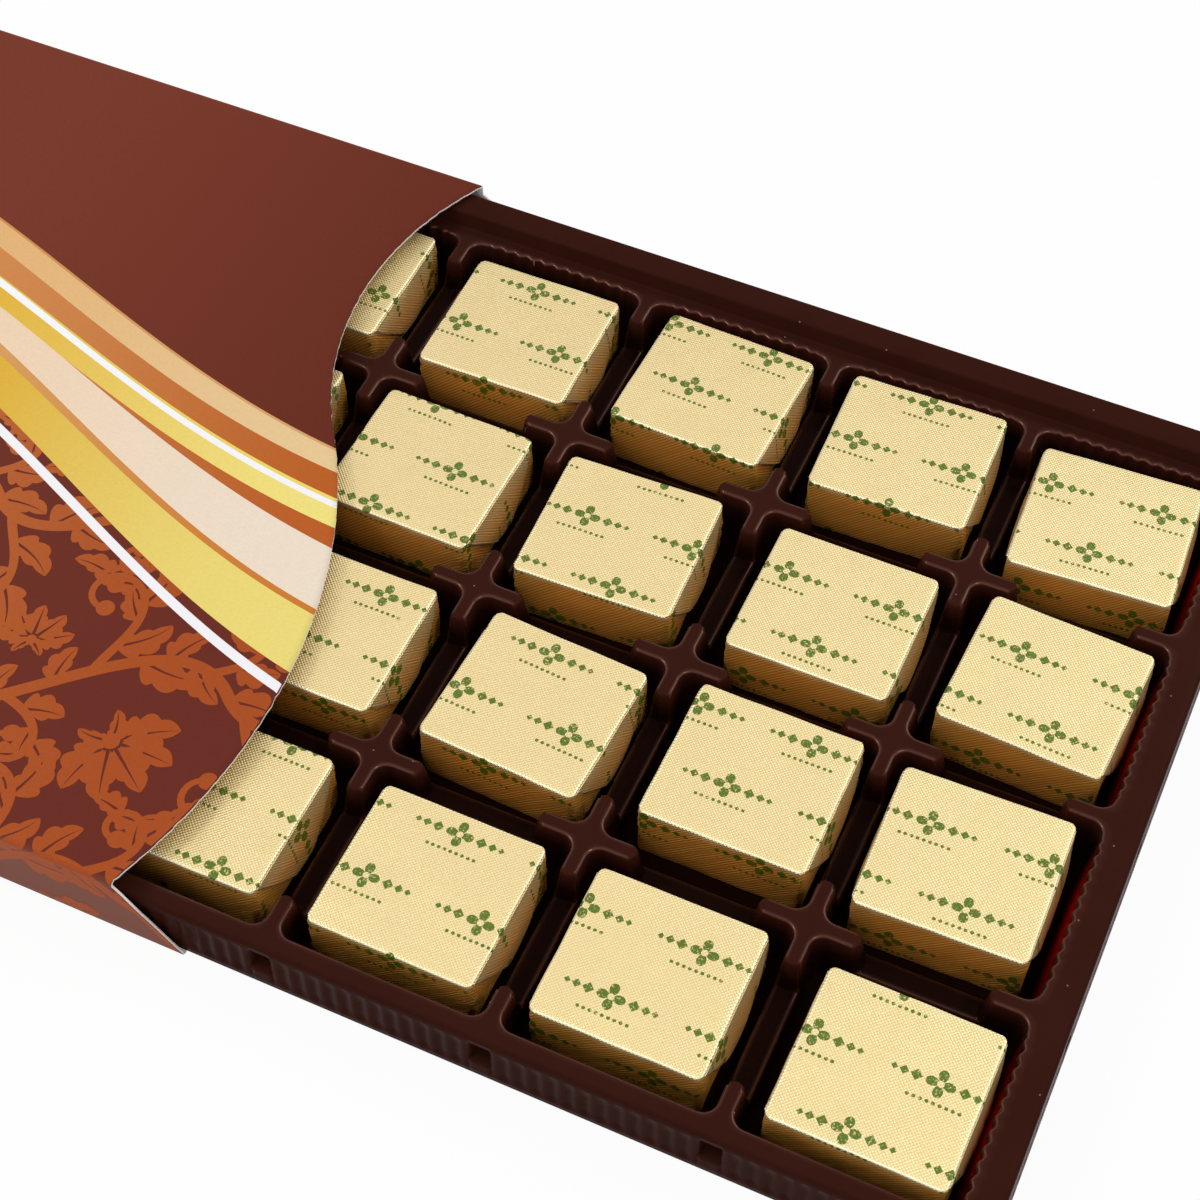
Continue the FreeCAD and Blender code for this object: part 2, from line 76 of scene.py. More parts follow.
TRAY_LOW, TRAY_HIGH = node_box("tray")
SLEEVE_LOW, SLEEVE_HIGH = node_box("sleeve")
FIRST_CELL = cell_centre(1, 1)
LAST_CELL = cell_centre(ROWS, COLUMNS)
PITCH_X = (FIRST_CELL.x - LAST_CELL.x) / (COLUMNS - 1)
PITCH_Y = (FIRST_CELL.y - LAST_CELL.y) / (ROWS - 1)


def srgb(red, green, blue):
    """Linear colour of an 8-bit screen colour."""
    shares = (value / 255 for value in (red, green, blue))
    linear = [s / 12.92 if s <= 0.04045 else ((s + 0.055) / 1.055) ** 2.4 for s in shares]
    return (*linear, 1.0)


class Graph:
    """Node tree of one material."""

    def __init__(self, name):
        self.material = bpy.data.materials.new(name)
        self.material.use_nodes = True
        self.tree = self.material.node_tree
        self.shader = self.tree.nodes["Principled BSDF"]

    def feed(self, socket, value):
        if isinstance(value, bpy.types.NodeSocket):
            self.tree.links.new(value, socket)
        else:
            socket.default_value = value

    def node(self, kind, inputs=None, **settings):
        made = self.tree.nodes.new("ShaderNode" + kind)
        for key, value in settings.items():
            setattr(made, key, value)
        for key, value in (inputs or {}).items():
            self.feed(made.inputs[key], value)
        return made

    def math(self, operation, *values):
        return self.node("Math", dict(enumerate(values)), operation=operation).outputs[0]

    def hypot(self, first, second):
        squares = [self.math("MULTIPLY", value, value) for value in (first, second)]
        return self.math("SQRT", self.math("ADD", *squares))

    def mix(self, share, first, second):
        made = self.node("Mix", {0: share, 6: first, 7: second}, data_type="RGBA")
        return made.outputs[2]

    def ramp(self, value, low, high):
        """Smooth 0 to 1 as value goes from low to high."""
        inputs = {"Value": value, "From Min": low, "From Max": high}
        return self.node("MapRange", inputs, interpolation_type="SMOOTHSTEP").outputs[0]

    def noise(self, vector, scale, detail=2.0):
        return self.node("TexNoise", {"Vector": vector, "Scale": scale, "Detail": detail}).outputs[0]

    def scaled(self, vector, factor):
        return self.node("VectorMath", {0: vector, "Scale": factor}, operation="SCALE").outputs[0]

    def place(self):
        """Object coordinates in millimetres."""
        return self.scaled(self.node("TexCoord").outputs["Object"], 1 / MM)

    def uv(self, layer):
        """The two coordinates of a UV layer, in millimetres."""
        made = self.node("SeparateXYZ", {0: self.node("UVMap", uv_map=layer).outputs[0]})
        return made.outputs[0], made.outputs[1]

    def attribute(self, name):
        """A share that is kept with the mesh's vertices."""
        return self.node("Attribute", attribute_name=name).outputs["Fac"]

    def bump(self, height, strength, distance):
        inputs = {"Height": height, "Strength": strength, "Distance": distance * MM}
        return self.node("Bump", inputs).outputs[0]

    def finish(self, sockets):
        for key, value in sockets.items():
            self.feed(self.shader.inputs[key], value)
        return self.material


# Specks of dust on the tray
SPECK_GAP = 13.0
SPECK_SIZE = 0.14


def tray_plastic():
    """Dark glossy sheet, with painted shade deep in the cells and a painted red glow of light through the
    end walls.
    """
    graph = Graph("tray_plastic")
    place = graph.place()
    cloud = graph.noise(place, 0.12)
    colour = graph.mix(cloud, srgb(50, 22, 16), srgb(57, 27, 20))
    speck_inputs = {"Vector": place, "Scale": 1 / SPECK_GAP}
    speck = graph.node("TexVoronoi", speck_inputs, voronoi_dimensions="2D").outputs["Distance"]
    speck = graph.math("LESS_THAN", speck, SPECK_SIZE / SPECK_GAP)
    colour = graph.mix(speck, colour, srgb(124, 100, 92))
    # Painted shade: the cells' walls, saddles and floors darken with depth below the rim
    colour = graph.mix(graph.attribute("painted_shade"), colour, srgb(22, 8, 5))
    # Painted glow: red on the end cells' outer walls, for light shining through the sheet
    colour = graph.mix(graph.attribute("painted_glow"), colour, srgb(205, 10, 8))
    dust = graph.noise(place, 1.6, 4.0)
    return graph.finish({
        "Base Color": colour,
        "Roughness": graph.math("MULTIPLY_ADD", dust, 0.12, 0.18),
        "Specular IOR Level": graph.math("MULTIPLY_ADD", graph.attribute("edge"), 0.7, 0.006),
        "Specular Tint": srgb(255, 190, 170),
        "Normal": graph.bump(dust, 0.08, 0.2),
    })


# Foil print: rosettes between diamonds, over a line of beads, half a step apart from row to row
PRINT_WIDTH = 19.5
PRINT_HEIGHT = 12.4
ROSETTE_PETALS = 4
ROSETTE_REACH = 2.3
ROSETTE_HEART = 0.55
ROSETTE_POWER = 0.6
DIAMONDS = (
    # place beside the rosette, half size
    (3.7, 0.95),
    (5.6, 0.75),
    (7.1, 0.55),
)
BEAD_LINE = -3.3
BEAD_PITCH = 1.0
BEAD_SIZE = 0.3
BEAD_RUN = 4.5
LINEN_PITCH = 0.62
TWILL_PITCH = 0.78


def foil_print(graph, across, along):
    """1 on the printed motif and 0 beside it."""
    row = graph.math("FLOOR", graph.math("DIVIDE", along, PRINT_HEIGHT))
    shift = graph.math("MULTIPLY", graph.math("FLOORED_MODULO", row, 2.0), PRINT_WIDTH / 2)
    u = graph.math("FLOORED_MODULO", graph.math("ADD", across, shift), PRINT_WIDTH)
    u = graph.math("ABSOLUTE", graph.math("SUBTRACT", u, PRINT_WIDTH / 2))
    v = graph.math("SUBTRACT", graph.math("FLOORED_MODULO", along, PRINT_HEIGHT), PRINT_HEIGHT / 2)
    radius = graph.hypot(u, v)
    turn = graph.math("MULTIPLY", graph.math("ARCTAN2", v, u), ROSETTE_PETALS / 2)
    petal = graph.math("ABSOLUTE", graph.math("COSINE", turn))
    reach = graph.math("MULTIPLY", graph.math("POWER", petal, ROSETTE_POWER), ROSETTE_REACH)
    inked = graph.math("LESS_THAN", radius, reach)
    inked = graph.math("MULTIPLY", inked, graph.math("GREATER_THAN", radius, ROSETTE_HEART))
    height = graph.math("ABSOLUTE", v)
    for place, size in DIAMONDS:
        reach = graph.math("ADD", graph.math("ABSOLUTE", graph.math("SUBTRACT", u, place)), height)
        inked = graph.math("MAXIMUM", inked, graph.math("LESS_THAN", reach, size))
    bead = graph.hypot(graph.math("PINGPONG", u, BEAD_PITCH / 2), graph.math("SUBTRACT", v, BEAD_LINE))
    bead = graph.math("LESS_THAN", bead, BEAD_SIZE)
    bead = graph.math("MULTIPLY", bead, graph.math("LESS_THAN", u, BEAD_RUN))
    return graph.math("MAXIMUM", inked, bead)


def gold_foil():
    """Embossed gold foil with a small generic green print: linen on top, twill on the sides, painted shade
    on the sides and flaps, painted highlights on the edges.
    """
    graph = Graph("gold_foil")
    across, along = graph.uv("wrap")
    thread = 2 * math.pi / LINEN_PITCH
    rib_across = graph.math("SINE", graph.math("MULTIPLY", across, thread))
    rib_along = graph.math("SINE", graph.math("MULTIPLY", along, thread))
    linen = graph.math("MULTIPLY", rib_across, rib_along)
    place = graph.place()
    crease = graph.noise(place, 0.35, 3.0)
    height = graph.math("MULTIPLY_ADD", crease, 2.0, linen)
    tone = graph.mix(crease, srgb(233, 213, 160), srgb(225, 203, 147))
    # Painted shade in the hollows of the linen emboss
    tone = graph.mix(graph.ramp(linen, -1.0, 0.2), srgb(214, 188, 130), tone)
    slant = graph.math("MULTIPLY", graph.math("SUBTRACT", across, along), 2 * math.pi / TWILL_PITCH)
    twill = graph.ramp(graph.math("SINE", slant), -1.0, 1.0)
    # Painted shade and reflection: the sides are darker orange, and their twill is drawn as the painted
    # light and shade of its ridges
    side = graph.attribute("side")
    tone = graph.mix(side, tone, graph.mix(twill, srgb(202, 120, 38), srgb(240, 180, 84)))
    # Painted highlight along the edges
    tone = graph.mix(graph.attribute("painted_highlight"), tone, srgb(254, 244, 208))
    patch = graph.noise(place, 3.0, 4.0)
    ink = graph.math("MULTIPLY", foil_print(graph, across, along), graph.ramp(patch, 0.28, 0.46))
    return graph.finish({
        "Base Color": graph.mix(ink, tone, srgb(84, 108, 3)),
        "Metallic": graph.math("MULTIPLY_ADD", graph.math("MAXIMUM", ink, side), -0.35, 0.7),
        "Roughness": graph.math("MULTIPLY_ADD", crease, 0.16, 0.27),
        "Normal": graph.bump(height, 0.8, 0.06),
    })


def chocolate():
    graph = Graph("chocolate")
    bloom = graph.noise(graph.place(), 0.25, 3.0)
    return graph.finish({
        "Base Color": graph.mix(bloom, srgb(62, 30, 18), srgb(82, 44, 28)),
        "Roughness": graph.math("MULTIPLY_ADD", bloom, 0.2, 0.34),
        "Normal": graph.bump(bloom, 0.2, 0.1),
    })


# Wave bands of the print: each edge crosses its rest line at a point and swings about it.
BAND_HALF_WAVE = 152.0
BAND_EDGES = (
    # crossing x, crossing y, swing, colour at the far end, colour at the mouth
    (-30.0, 26.7, 17.0, (205, 140, 85), (214, 165, 110)),
    (-30.0, 26.2, 17.0, (226, 178, 120), (230, 200, 150)),
    (-33.0, 22.5, 17.0, (208, 138, 80), (184, 94, 38)),
    (-29.0, 16.6, 16.2, (226, 190, 80), (240, 214, 110)),
    (-29.0, 16.2, 16.5, (246, 246, 246), (244, 243, 247)),
    (-29.0, 14.75, 16.2, (224, 176, 56), (240, 224, 130)),
    (-28.0, 10.8, 16.0, (204, 130, 74), (184, 94, 40)),
    (-19.0, 7.7, 17.6, (238, 208, 176), (236, 220, 200)),
    (-15.0, -1.0, 21.3, (214, 162, 100), (204, 124, 52)),
    (-15.0, -2.6, 20.8, (218, 166, 38), (235, 216, 122)),
    (-8.0, -13.8, 22.2, (108, 50, 39), (105, 46, 36)),
)
WHITE_LINE = (-3.0, -17.8, 21.7)
WHITE_LINE_WIDTH = 1.8
FADE_FAR = -60.0
FADE_MOUTH = 45.0
INK_FADE_FAR = -70.0
INK_FADE_MOUTH = 35.0
# Painted sheen on the front panel: share of pale tone, and where it comes in
FRONT_PAINTED_SHEEN_SHARE = 0.2
FRONT_PAINTED_SHEEN_START = -78.0
FRONT_PAINTED_SHEEN_END = -80.0
FIBRE_SCALE = 2.2
FIBRE_DETAIL = 5.0


def edge_y(edge, x):
    """Place of a band edge across the sleeve, at a distance along it."""
    crossing_x, crossing_y, swing = edge[:3]
    return crossing_y - swing * math.sin(math.pi * (x - crossing_x) / BAND_HALF_WAVE)


def sleeve_print():
    """Satin printed card: dark brown with wave bands; a painted sheen lightens the ground towards the far
    end and makes the front panel paler.
    """
    graph = Graph("sleeve_print")
    x, y = graph.uv("blank")
    along = graph.ramp(x, FADE_FAR, FADE_MOUTH)
    # Painted sheen: the brown ground is lighter towards the far end
    colour = graph.mix(along, srgb(118, 56, 41), srgb(101, 44, 31))
    for crossing_x, crossing_y, swing, far, mouth in BAND_EDGES:
        turn = graph.math("MULTIPLY", graph.math("SUBTRACT", x, crossing_x), math.pi / BAND_HALF_WAVE)
        line = graph.math("MULTIPLY_ADD", graph.math("SINE", turn), -swing, crossing_y)
        below = graph.math("LESS_THAN", y, line)
        colour = graph.mix(below, colour, graph.mix(along, srgb(*far), srgb(*mouth)))
    # Painted sheen: the front panel's print is mixed with a pale tone
    pale = graph.math("MULTIPLY", graph.ramp(y, FRONT_PAINTED_SHEEN_START, FRONT_PAINTED_SHEEN_END), FRONT_PAINTED_SHEEN_SHARE)
    colour = graph.mix(pale, colour, srgb(196, 140, 116))
    fibre = graph.noise(graph.place(), FIBRE_SCALE, FIBRE_DETAIL)
    return graph.finish({
        "Base Color": graph.scaled(colour, graph.math("MULTIPLY_ADD", fibre, 0.16, 0.92)),
        "Roughness": graph.math("MULTIPLY_ADD", fibre, 0.14, 0.40),
        "Specular IOR Level": 0.04,
        "Normal": graph.bump(fibre, 0.12, 0.06),
    })


def sleeve_ink():
    """Warm orange ink of the ornament, paler towards the far end."""
    graph = Graph("sleeve_ink")
    place = graph.place()
    along = graph.ramp(graph.node("SeparateXYZ", {0: place}).outputs[0], INK_FADE_FAR, INK_FADE_MOUTH)
    colour = graph.mix(along, srgb(190, 108, 58), srgb(167, 78, 36))
    fibre = graph.noise(place, FIBRE_SCALE, FIBRE_DETAIL)
    return graph.finish({
        "Base Color": graph.scaled(colour, graph.math("MULTIPLY_ADD", fibre, 0.2, 0.9)),
        "Roughness": graph.math("MULTIPLY_ADD", fibre, 0.14, 0.40),
        "Specular IOR Level": 0.06,
    })


def white_ink():
    return Graph("white_ink").finish({
        "Base Color": srgb(243, 241, 244),
        "Roughness": 0.5,
        "Specular IOR Level": 0.1,
    })


def raw_board():
    """Uncoated pale board of the sleeve's inside and cut edges."""
    graph = Graph("raw_board")
    fibre = graph.noise(graph.place(), 3.0, 6.0)
    return graph.finish({
        "Base Color": graph.mix(fibre, srgb(214, 205, 198), srgb(246, 242, 238)),
        "Roughness": 0.85,
        "Normal": graph.bump(fibre, 0.35, 0.06),
    })


def scene_object(name, data):
    made = bpy.data.objects.new(name, data)
    bpy.context.scene.collection.objects.link(made)
    return made


def mesh_object(name, points, faces, materials, uv_layer=None, uvs=None, face_slots=None):
    """Object of points in millimetres, with smooth faces."""
    mesh = bpy.data.meshes.new(name)
    mesh.from_pydata((np.asarray(points, float) * MM).tolist(), [], faces)
    for material in materials:
        mesh.materials.append(material)
    mesh.polygons.foreach_set("use_smooth", [True] * len(mesh.polygons))
    if face_slots is not None:
        mesh.polygons.foreach_set("material_index", face_slots)
    if uv_layer:
        layer = mesh.uv_layers.new(name=uv_layer)
        layer.data.foreach_set("uv", np.asarray(uvs, float).ravel())
    mesh.update()
    return scene_object(name, mesh)


def thicken(made, thickness):
    """Give an open shell its thickness, behind its outer face."""
    sheet = made.modifiers.new("sheet", "SOLIDIFY")
    sheet.thickness = thickness * MM
    sheet.offset = -1
    return sheet


def shell_object(name, shell, material, smooth):
    """Object of a shell whose points are in millimetres."""
    for vert in shell.verts:
        vert.co *= MM
    mesh = bpy.data.meshes.new(name)
    shell.to_mesh(mesh)
    shell.free()
    mesh.materials.append(material)
    mesh.polygons.foreach_set("use_smooth", [smooth] * len(mesh.polygons))
    return scene_object(name, mesh)


def smooth_share(value):
    """Smooth 0 to 1 as value goes from 0 to 1."""
    value = max(0.0, min(1.0, value))
    return value * value * (3 - 2 * value)


# Tray
SHEET = 0.45
DIVIDER = 2.8
CELL_RADIUS = 2.3
CELL_DRAFT = 1.02
LIP_RISE = 3.0
LIP_RUN = 0.8
LIP_FOOT_RISE = 0.5
LIP_FOOT_RUN = 0.25
RIM_FRONT = 3.45
RIM_END = 5.9
LEDGE = 2.5
FRONT_RADIUS = 6.0
BACK_RADIUS = 3.6
SADDLE_HEIGHT = 4.2
ARM_X = 8.1
ARM_Y = 7.7
ARM_RUN = 1.4
EDGE_ROUND = 0.55
FLOOR_ROUND = 1.1
OUTER_ROUND = 0.8
FLUTE_DEPTH = 0.5
FLUTE_EASE = 1.2
FLUTES_PER_PITCH = 14
SKIRT_FLARE = 0.4
SKIRT_FLUTE = 0.32
SKIRT_FLUTE_DROP = 1.7
SKIRT_FLUTE_DROP_RUN = 0.9
SKIRT_FLUTE_FOOT = 0.9
SKIRT_FLUTE_FOOT_RUN = 1.0
NOTCH_HALF = 1.65
NOTCH_TOP = 1.6
NOTCH_HEIGHT = 4.8
NOTCH_DEPTH = 2.0
# Half the gap between two levels at a sharp step, and the distance at which two points are one
STEP = 0.08
WELD = 0.001

HALF_X = (PITCH_X - DIVIDER) / 2
HALF_Y = (PITCH_Y - DIVIDER) / 2
RIM_Z = TRAY_HIGH.z - LIP_RISE
LIP_Z = TRAY_HIGH.z
FLOOR_Z = TRAY_LOW.z + SHEET
SADDLE_Z = TRAY_LOW.z + SADDLE_HEIGHT
CELL_DEPTH = RIM_Z - FLOOR_Z
SKIRT_DEPTH = RIM_Z - TRAY_LOW.z
LEDGE_Y = FIRST_CELL.y + HALF_Y + LEDGE
NOTCH_FOOT = NOTCH_TOP + NOTCH_HEIGHT
# Levels of the skirt's points below the rim: close together at the notches' top and foot
SKIRT_DROPS = (
    NOTCH_TOP - STEP, NOTCH_TOP + STEP, 2.6, 4.2,
    NOTCH_FOOT - STEP, NOTCH_FOOT + STEP, 7.6, 8.6, 9.4, SKIRT_DEPTH,
)

# Rings round every cell, from the divider's centre line over the edge and down to the floor
TOP_SHARES = (0.0, 0.25, 0.5, 0.75, 1.0)
FILLET_TURNS = tuple(math.radians(a) for a in (22.5, 45.0, 67.5, 90.0))
WALL_SHARES = (0.12, 0.35, 0.65, 0.88)
FLUTE_FADE_POWER = 4
FLUTE_STEPS = 8
SADDLE_STEPS = 5
ARM_STEPS = 19
CORNER_STEPS = 16
EDGE_PASSES = 4
FLANGE_SHARES = (0.4, 1.0)
STRAIGHT_SHARE = 0.99
# Gloss of a column's points from the edge down, and the painted red glow of the points from the wall down
EDGE_SHARES = (0.2, 0.8, 1.0, 0.8, 0.2)
PAINTED_GLOW_SHARES = (0.1, 0.7, 1.0, 0.8, 0.4, 0.1, 0.0, 0.0)
TOP_SHEEN_SHARE = 0.03
# Depth below the rim over which the painted shade comes in
PAINTED_SHADE_RUN = 4.5
NOTCH_SHARE = 1 - NOTCH_HALF / (CELL_RADIUS + DIVIDER / 2)
NOTCH_GAP_SHARE = 0.02
CORNER_SHARES = np.concatenate([
    np.linspace(0.0, NOTCH_SHARE - NOTCH_GAP_SHARE, 7),
    np.linspace(NOTCH_SHARE + NOTCH_GAP_SHARE, 1.0, 4),
])
CORNER_TURN_SHARES = np.concatenate([CORNER_SHARES / 2, 1 - CORNER_SHARES[-2::-1] / 2])
SIDES = (
    # outward direction, direction along the side, step to the neighbour in rows and columns
    (Vector((1, 0)), Vector((0, 1)), (0, -1)),
    (Vector((0, 1)), Vector((-1, 0)), (-1, 0)),
    (Vector((-1, 0)), Vector((0, -1)), (0, 1)),
    (Vector((0, -1)), Vector((1, 0)), (1, 0)),
)
END_SIDE = 0
BACK_SIDE = 1
FRONT_SIDE = 3
SIDE_HALVES = (HALF_X, HALF_Y) * 2
SIDE_PITCHES = (PITCH_Y, PITCH_X) * 2
SIDE_ARMS = (ARM_Y, ARM_X) * 2
SIDE_RIMS = (RIM_END - OUTER_ROUND, LEDGE, RIM_END - OUTER_ROUND, RIM_FRONT - OUTER_ROUND)


def arm_fall(along, across, tip):
    """Height of a divider: high on the cross arms, low on the saddle between them."""
    radius = DIVIDER / 2
    distance = math.hypot(max(0.0, tip + radius - abs(along)), across) - radius
    return RIM_Z - (RIM_Z - SADDLE_Z) * smooth_share(distance / ARM_RUN)


def rim_top(_):
    """Height of the rim, the same at every distance from its edge."""
    return RIM_Z


def inset(z):
    """How far the cell's drafted wall has come in at a height."""
    return CELL_DRAFT * (RIM_Z - z) / CELL_DEPTH


def scallop(distance, pitch):
    return 0.5 - 0.5 * math.cos(2 * math.pi * distance * FLUTES_PER_PITCH / pitch)


def cell_column(outline, outward, boundary, top, edge, flute):
    """Points from a tile's boundary to the cell's floor.

    top gives the height at a distance from the boundary, and edge the height where the wall starts.
    """
    outline = outline + outward * flute
    brink = outline - outward * inset(edge)
    flat_end = brink + outward * EDGE_ROUND
    column = []
    for share in TOP_SHARES:
        spot = boundary.lerp(flat_end, share)
        column.append((spot.x, spot.y, top((spot - boundary).length)))
    for turn in FILLET_TURNS:
        spot = brink + outward * EDGE_ROUND * (1 - math.sin(turn))
        column.append((spot.x, spot.y, edge - EDGE_ROUND * (1 - math.cos(turn))))
    wall_top = edge - EDGE_ROUND
    wall_foot = FLOOR_Z + FLOOR_ROUND
    for share in WALL_SHARES:
        z = wall_top + (wall_foot - wall_top) * share
        spot = outline - outward * (inset(z) + flute * share ** FLUTE_FADE_POWER)
        column.append((spot.x, spot.y, z))
    for turn in FILLET_TURNS:
        spot = outline - outward * (inset(wall_foot) + flute + FLOOR_ROUND * (1 - math.cos(turn)))
        column.append((spot.x, spot.y, FLOOR_Z + FLOOR_ROUND * (1 - math.sin(turn))))
    return column


def side_steps(half_straight, tip, interior, pitch):
    """Places along a side, from corner to corner: close together at the arms' ends or on the flutes."""
    if interior:
        half = np.concatenate([
            np.linspace(0, tip - ARM_RUN, SADDLE_STEPS),
            np.linspace(tip - ARM_RUN, tip + ARM_RUN, ARM_STEPS)[1:],
            [half_straight],
        ])
        return np.concatenate([-half[:0:-1], half])
    flutes = 2 * half_straight * FLUTES_PER_PITCH / pitch
    return np.linspace(-half_straight, half_straight, int(flutes * FLUTE_STEPS))


def side_columns(centre, side, interior, reach):
    """Columns along one straight side of a cell, and the strength of the painted red glow there."""
    out, along, _ = SIDES[side]
    half_straight = SIDE_HALVES[(side + 1) % len(SIDES)] - CELL_RADIUS
    pitch = SIDE_PITCHES[side]
    tip = pitch / 2 - SIDE_ARMS[side]
    columns = []
    painted_glow = []
    for step in side_steps(half_straight, tip, interior, pitch):
        outline = centre + out * SIDE_HALVES[side] + along * step
        top = rim_top
        edge = RIM_Z
        flute = 0.0
        if interior:
            top = lambda gap, place=step: arm_fall(place, gap, tip)
            for _ in range(EDGE_PASSES + 1):
                edge = arm_fall(step, DIVIDER / 2 + inset(edge), tip)
        elif side != FRONT_SIDE:
            ease = smooth_share((half_straight - abs(step)) / FLUTE_EASE)
            flute = FLUTE_DEPTH * scallop(step + pitch / 2, pitch) * ease
        columns.append(cell_column(outline, out, outline + out * reach, top, edge, flute))
        # Painted red glow on the outer walls of the end cells, strongest in the middle of the side
        lit = side == END_SIDE and not interior
        painted_glow.append(1 - (step / half_straight) ** 2 if lit else 0.0)
    return columns, painted_glow


def rounded_path(leave, corner, arrive, first, second):
    """Points round an outer front corner of the rim, spread by the corner's shares."""
    radius = FRONT_RADIUS - OUTER_ROUND
    pivot = corner - (first + second) * radius
    dense = [leave]
    for step in range(CORNER_STEPS + 1):
        turn = math.pi / 2 * step / CORNER_STEPS
        dense.append(pivot + (first * math.cos(turn) + second * math.sin(turn)) * radius)
    dense.append(arrive)
    runs = np.cumsum([0.0] + [(b - a).length for a, b in zip(dense, dense[1:])])
    places = CORNER_TURN_SHARES * runs[-1]
    xs = np.interp(places, runs, [p.x for p in dense])
    ys = np.interp(places, runs, [p.y for p in dense])
    return [Vector(p) for p in zip(xs, ys)]


def corner_columns(centre, side, interior, reach):
    """Columns round the corner between one side of a cell and the next."""
    follower = (side + 1) % len(SIDES)
    out = SIDES[side][0]
    next_out = SIDES[follower][0]
    near = SIDE_HALVES[side] - CELL_RADIUS
    near_next = SIDE_HALVES[follower] - CELL_RADIUS
    far = SIDE_HALVES[side] + reach[side]
    far_next = SIDE_HALVES[follower] + reach[follower]
    pivot = centre + out * near + next_out * near_next
    leave = centre + out * far + next_out * near_next
    corner = centre + out * far + next_out * far_next
    arrive = centre + out * near + next_out * far_next
    if interior[side] or interior[follower] or BACK_SIDE in (side, follower):
        path = [leave.lerp(corner, share) for share in CORNER_SHARES]
        path += [arrive.lerp(corner, share) for share in CORNER_SHARES[-2::-1]]
    else:
        path = rounded_path(leave, corner, arrive, out, next_out)
    columns = []
    for share, boundary in list(zip(CORNER_TURN_SHARES, path))[1:-1]:
        angle = share * math.pi / 2
        outward = out * math.cos(angle) + next_out * math.sin(angle)
        outline = pivot + outward * CELL_RADIUS
        columns.append(cell_column(outline, outward, boundary, rim_top, RIM_Z, 0.0))
    return columns


def tile_columns(row, column):
    """Columns of points round one cell, counter-clockwise, and the strength of the painted red glow there.
    """
    centre = cell_centre(row, column).xy
    interior = []
    reach = []
    for rim, (_, _, (row_step, column_step)) in zip(SIDE_RIMS, SIDES):
        interior.append(1 <= row + row_step <= ROWS and 1 <= column + column_step <= COLUMNS)
        reach.append(DIVIDER / 2 if interior[-1] else rim)
    columns = []
    painted_glow = []
    for side in range(len(SIDES)):
        straight, straight_painted_glow = side_columns(centre, side, interior[side], reach[side])
        corner = corner_columns(centre, side, interior, reach)
        columns += straight + corner
        painted_glow += straight_painted_glow + [0.0] * len(corner)
    return columns, painted_glow


def outline_normal(x, y):
    """Outward direction of the tray's rounded outline."""
    for side, end in ((-1, TRAY_LOW.x), (1, TRAY_HIGH.x)):
        into_end = FRONT_RADIUS + SKIRT_FLARE - abs(end - x)
        into_front = FRONT_RADIUS + SKIRT_FLARE - (y - TRAY_LOW.y)
        into_back = BACK_RADIUS + SKIRT_FLARE - (TRAY_HIGH.y - y)
        into_end_back = BACK_RADIUS + SKIRT_FLARE - abs(end - x)
        if into_end > 0 and into_front > 0:
            return Vector((side * into_end, -into_front)).normalized()
        if into_end_back > 0 and into_back > 0:
            return Vector((side * into_end_back, into_back)).normalized()
    gaps = {
        (1, 0): TRAY_HIGH.x - x,
        (-1, 0): x - TRAY_LOW.x,
        (0, 1): TRAY_HIGH.y - y,
        (0, -1): y - TRAY_LOW.y,
    }
    return Vector(min(gaps, key=gaps.get))


def skirt_hollow(drop, distance, pitch, count):
    """How far the skirt is sunk at a level: a notch at each divider, and flutes between the notches."""
    divider = round(distance / pitch)
    if abs(distance - divider * pitch) > NOTCH_HALF:
        fade = smooth_share((drop - SKIRT_FLUTE_DROP) / SKIRT_FLUTE_DROP_RUN)
        fade *= smooth_share((SKIRT_DEPTH - drop - SKIRT_FLUTE_FOOT) / SKIRT_FLUTE_FOOT_RUN)
        return SKIRT_FLUTE * scallop(distance, pitch) * fade
    in_notch = 0 <= divider <= count - 2 and NOTCH_TOP < drop < NOTCH_FOOT
    return NOTCH_DEPTH if in_notch else 0.0


def skirt_column(x, y, top):
    """Points of the skirt below a point of the rim's outer edge."""
    out = outline_normal(x, y)
    along = None
    if abs(out.y) > STRAIGHT_SHARE:
        along = (x - (LAST_CELL.x + PITCH_X / 2), PITCH_X, COLUMNS)
    elif abs(out.x) > STRAIGHT_SHARE and y < LEDGE_Y:
        along = (y - (LAST_CELL.y + PITCH_Y / 2), PITCH_Y, ROWS)
    column = []
    for turn in FILLET_TURNS:
        spot = Vector((x, y)) + out * OUTER_ROUND * math.sin(turn)
        column.append((spot.x, spot.y, top - OUTER_ROUND * (1 - math.cos(turn))))
    for drop in SKIRT_DROPS:
        offset = OUTER_ROUND + SKIRT_FLARE * drop / SKIRT_DEPTH
        if along:
            offset -= skirt_hollow(drop, *along)
        spot = Vector((x, y)) + out * offset
        column.append((spot.x, spot.y, RIM_Z - drop))
    return column


